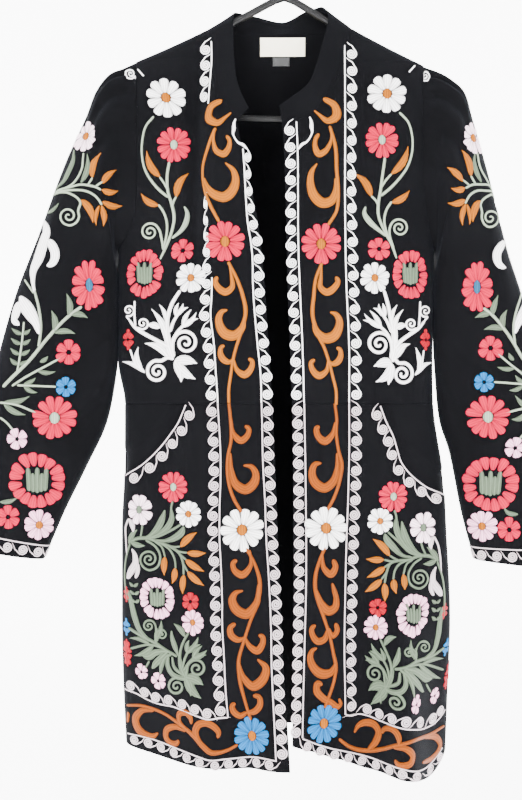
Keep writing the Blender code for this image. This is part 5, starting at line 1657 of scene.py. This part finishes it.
frontChart, backChart = BodyChart("front"), BodyChart("back")
for side, anchors in (("right", None), ("left", np.stack(list(frontAnchors.values()), axis=-1))):
    for part in ("upper", "skirt"):
        work = Stitching(f"front_{part}_{side}", frontChart, anchors)
        color = white if part == "upper" else lilac
        for line, discSide, pitch, gap, squeeze, bare, *radius in frontBorders[work.node]:
            work.border(frontChart.fromPixels(line), discSide, color, pitch * mmPerPixel, gap, squeeze,
                        bare, *radius, line=line)
        if part == "skirt":
            # the skirt's vines take the darker orange, painted shade
            for knots in vines[work.node]:
                work.band(knots, shadedOrange, round(knots[0][1]) != 403, direct=True)
        stitchRegion(work, part)
        work.finish()

# the cuffs' and the back's borders: heights in millimetres above the edge, and the disc's side
cuffRise = 21.5
backRises = ((22, 1), (78, -1))
borderPoints = 60

for side, anchors in (("right", None), ("left", np.stack(list(sleeveAnchors.values()), axis=-1))):
    work = Stitching("sleeve_" + side, SleeveChart(side), anchors)
    stitchRegion(work, "sleeve")
    row = work.chart.rows - 1 - cuffRise / work.chart.length * (work.chart.rows - 1)
    columns = np.linspace(0, work.chart.columns - 1, borderPoints)
    work.border(np.stack([np.full(borderPoints, row), columns], axis=-1), -1, lilac, 19.6, 0.4,
                radius=7.8)
    work.finish()

work = Stitching("back", backChart)
for rise, discSide in backRises:
    level = np.array(-1095.0)
    x = np.linspace(reachAt("right", level) + 2, reachAt("left", level) - 2, borderPoints)
    work.border(backChart.fromHeights(x, hemAt("back", x) + rise), discSide, lilac, 20.0)
work.finish()
print("stitching made")


# a pale round floor that rises into a wall all round, soft light, and a camera level with the middle
# of the jacket

room = {"floorZ": -1330, "radius": 3400, "bend": 1100, "height": 3600, "frontGlow": 0.16, "glow": 4.5}
light = {"sky": 1.8, "key": 130, "fill": 55}


def addRoom():
    # a flat disc, a quarter turn and a straight wall, turned round the jacket
    turn = np.linspace(0, np.pi / 2, 20)
    flat = room["radius"] - room["bend"]
    reach = np.concatenate([[1, flat * 0.5], flat + room["bend"] * np.sin(turn), [room["radius"]]])
    z = room["floorZ"] + np.concatenate([[0, 0], room["bend"] * (1 - np.cos(turn)), [room["height"]]])
    angles = np.linspace(0, 2 * np.pi, 96, endpoint=False)
    points = np.stack([reach[:, None] * np.cos(angles), reach[:, None] * np.sin(angles),
                       np.repeat(z[:, None], len(angles), 1)], axis=-1)
    number = np.arange(len(reach) * len(angles)).reshape(len(reach), -1)
    beside = np.roll(number, -1, axis=1)
    faces = np.stack([number[:-1], beside[:-1], beside[1:], number[1:]], -1).reshape(-1, 4)[:, ::-1]
    thing = addMesh("studioFloor", points.reshape(-1, 3), faces)
    finish = Finish("paleFloor", Roughness=0.9, Emission_Strength=room["glow"])
    place = finish.place()
    tone = finish.noise(place, 0.6, 2.0)
    # the wall glows behind the jacket and fades to little in front, where the lamps stand
    behind = finish.node("SeparateXYZ", None, {0: place}, 1) * 0.8 + 0.9
    low = finish.node("SeparateXYZ", None, {0: place}, 2) * -1.6 - 1.1
    glow = finish.mix(behind.math("MAXIMUM", low).clamped(), (room["frontGlow"],) * 3, (1, 1, 1))
    thing.data.materials.append(finish.link(
        Base_Color=finish.mix(tone, (0.86, 0.86, 0.86), (0.90, 0.90, 0.90)), Emission_Color=glow))


def addLight(name, place, target, size, power):
    lamp = bpy.data.lights.new(name, "AREA")
    lamp.shape, lamp.size, lamp.energy = "DISK", size, power
    thing = bpy.data.objects.new(name, lamp)
    bpy.context.scene.collection.objects.link(thing)
    thing.location = place
    aim = np.array(target) - np.array(place)
    tilt = np.arctan2(np.hypot(aim[0], aim[1]), -aim[2])
    thing.rotation_euler = (tilt, 0, np.arctan2(aim[0], -aim[1]) + np.pi)


addRoom()
world = bpy.data.worlds.new("softSky")
world.use_nodes = True
world.node_tree.nodes["Background"].inputs[0].default_value = (1, 1, 1, 1)
world.node_tree.nodes["Background"].inputs[1].default_value = light["sky"]
bpy.context.scene.world = world
addLight("keyLight", (-1.3, -2.2, 0.7), (0, 0, -0.45), 1.2, light["key"])
addLight("fillLight", (1.6, -2.0, -0.1), (0, 0, -0.6), 1.4, light["fill"])

camera = bpy.data.cameras.new("photoCamera")
camera.lens, camera.sensor_width = photo["lens"], 36
eye = bpy.data.objects.new("photoCamera", camera)
eye.location = (photo["x"] * mm, photo["y"] * mm, photo["z"] * mm)
eye.rotation_euler = (np.pi / 2, 0, 0)
bpy.context.scene.collection.objects.link(eye)
bpy.context.scene.camera = eye
print("room, lights and camera made")
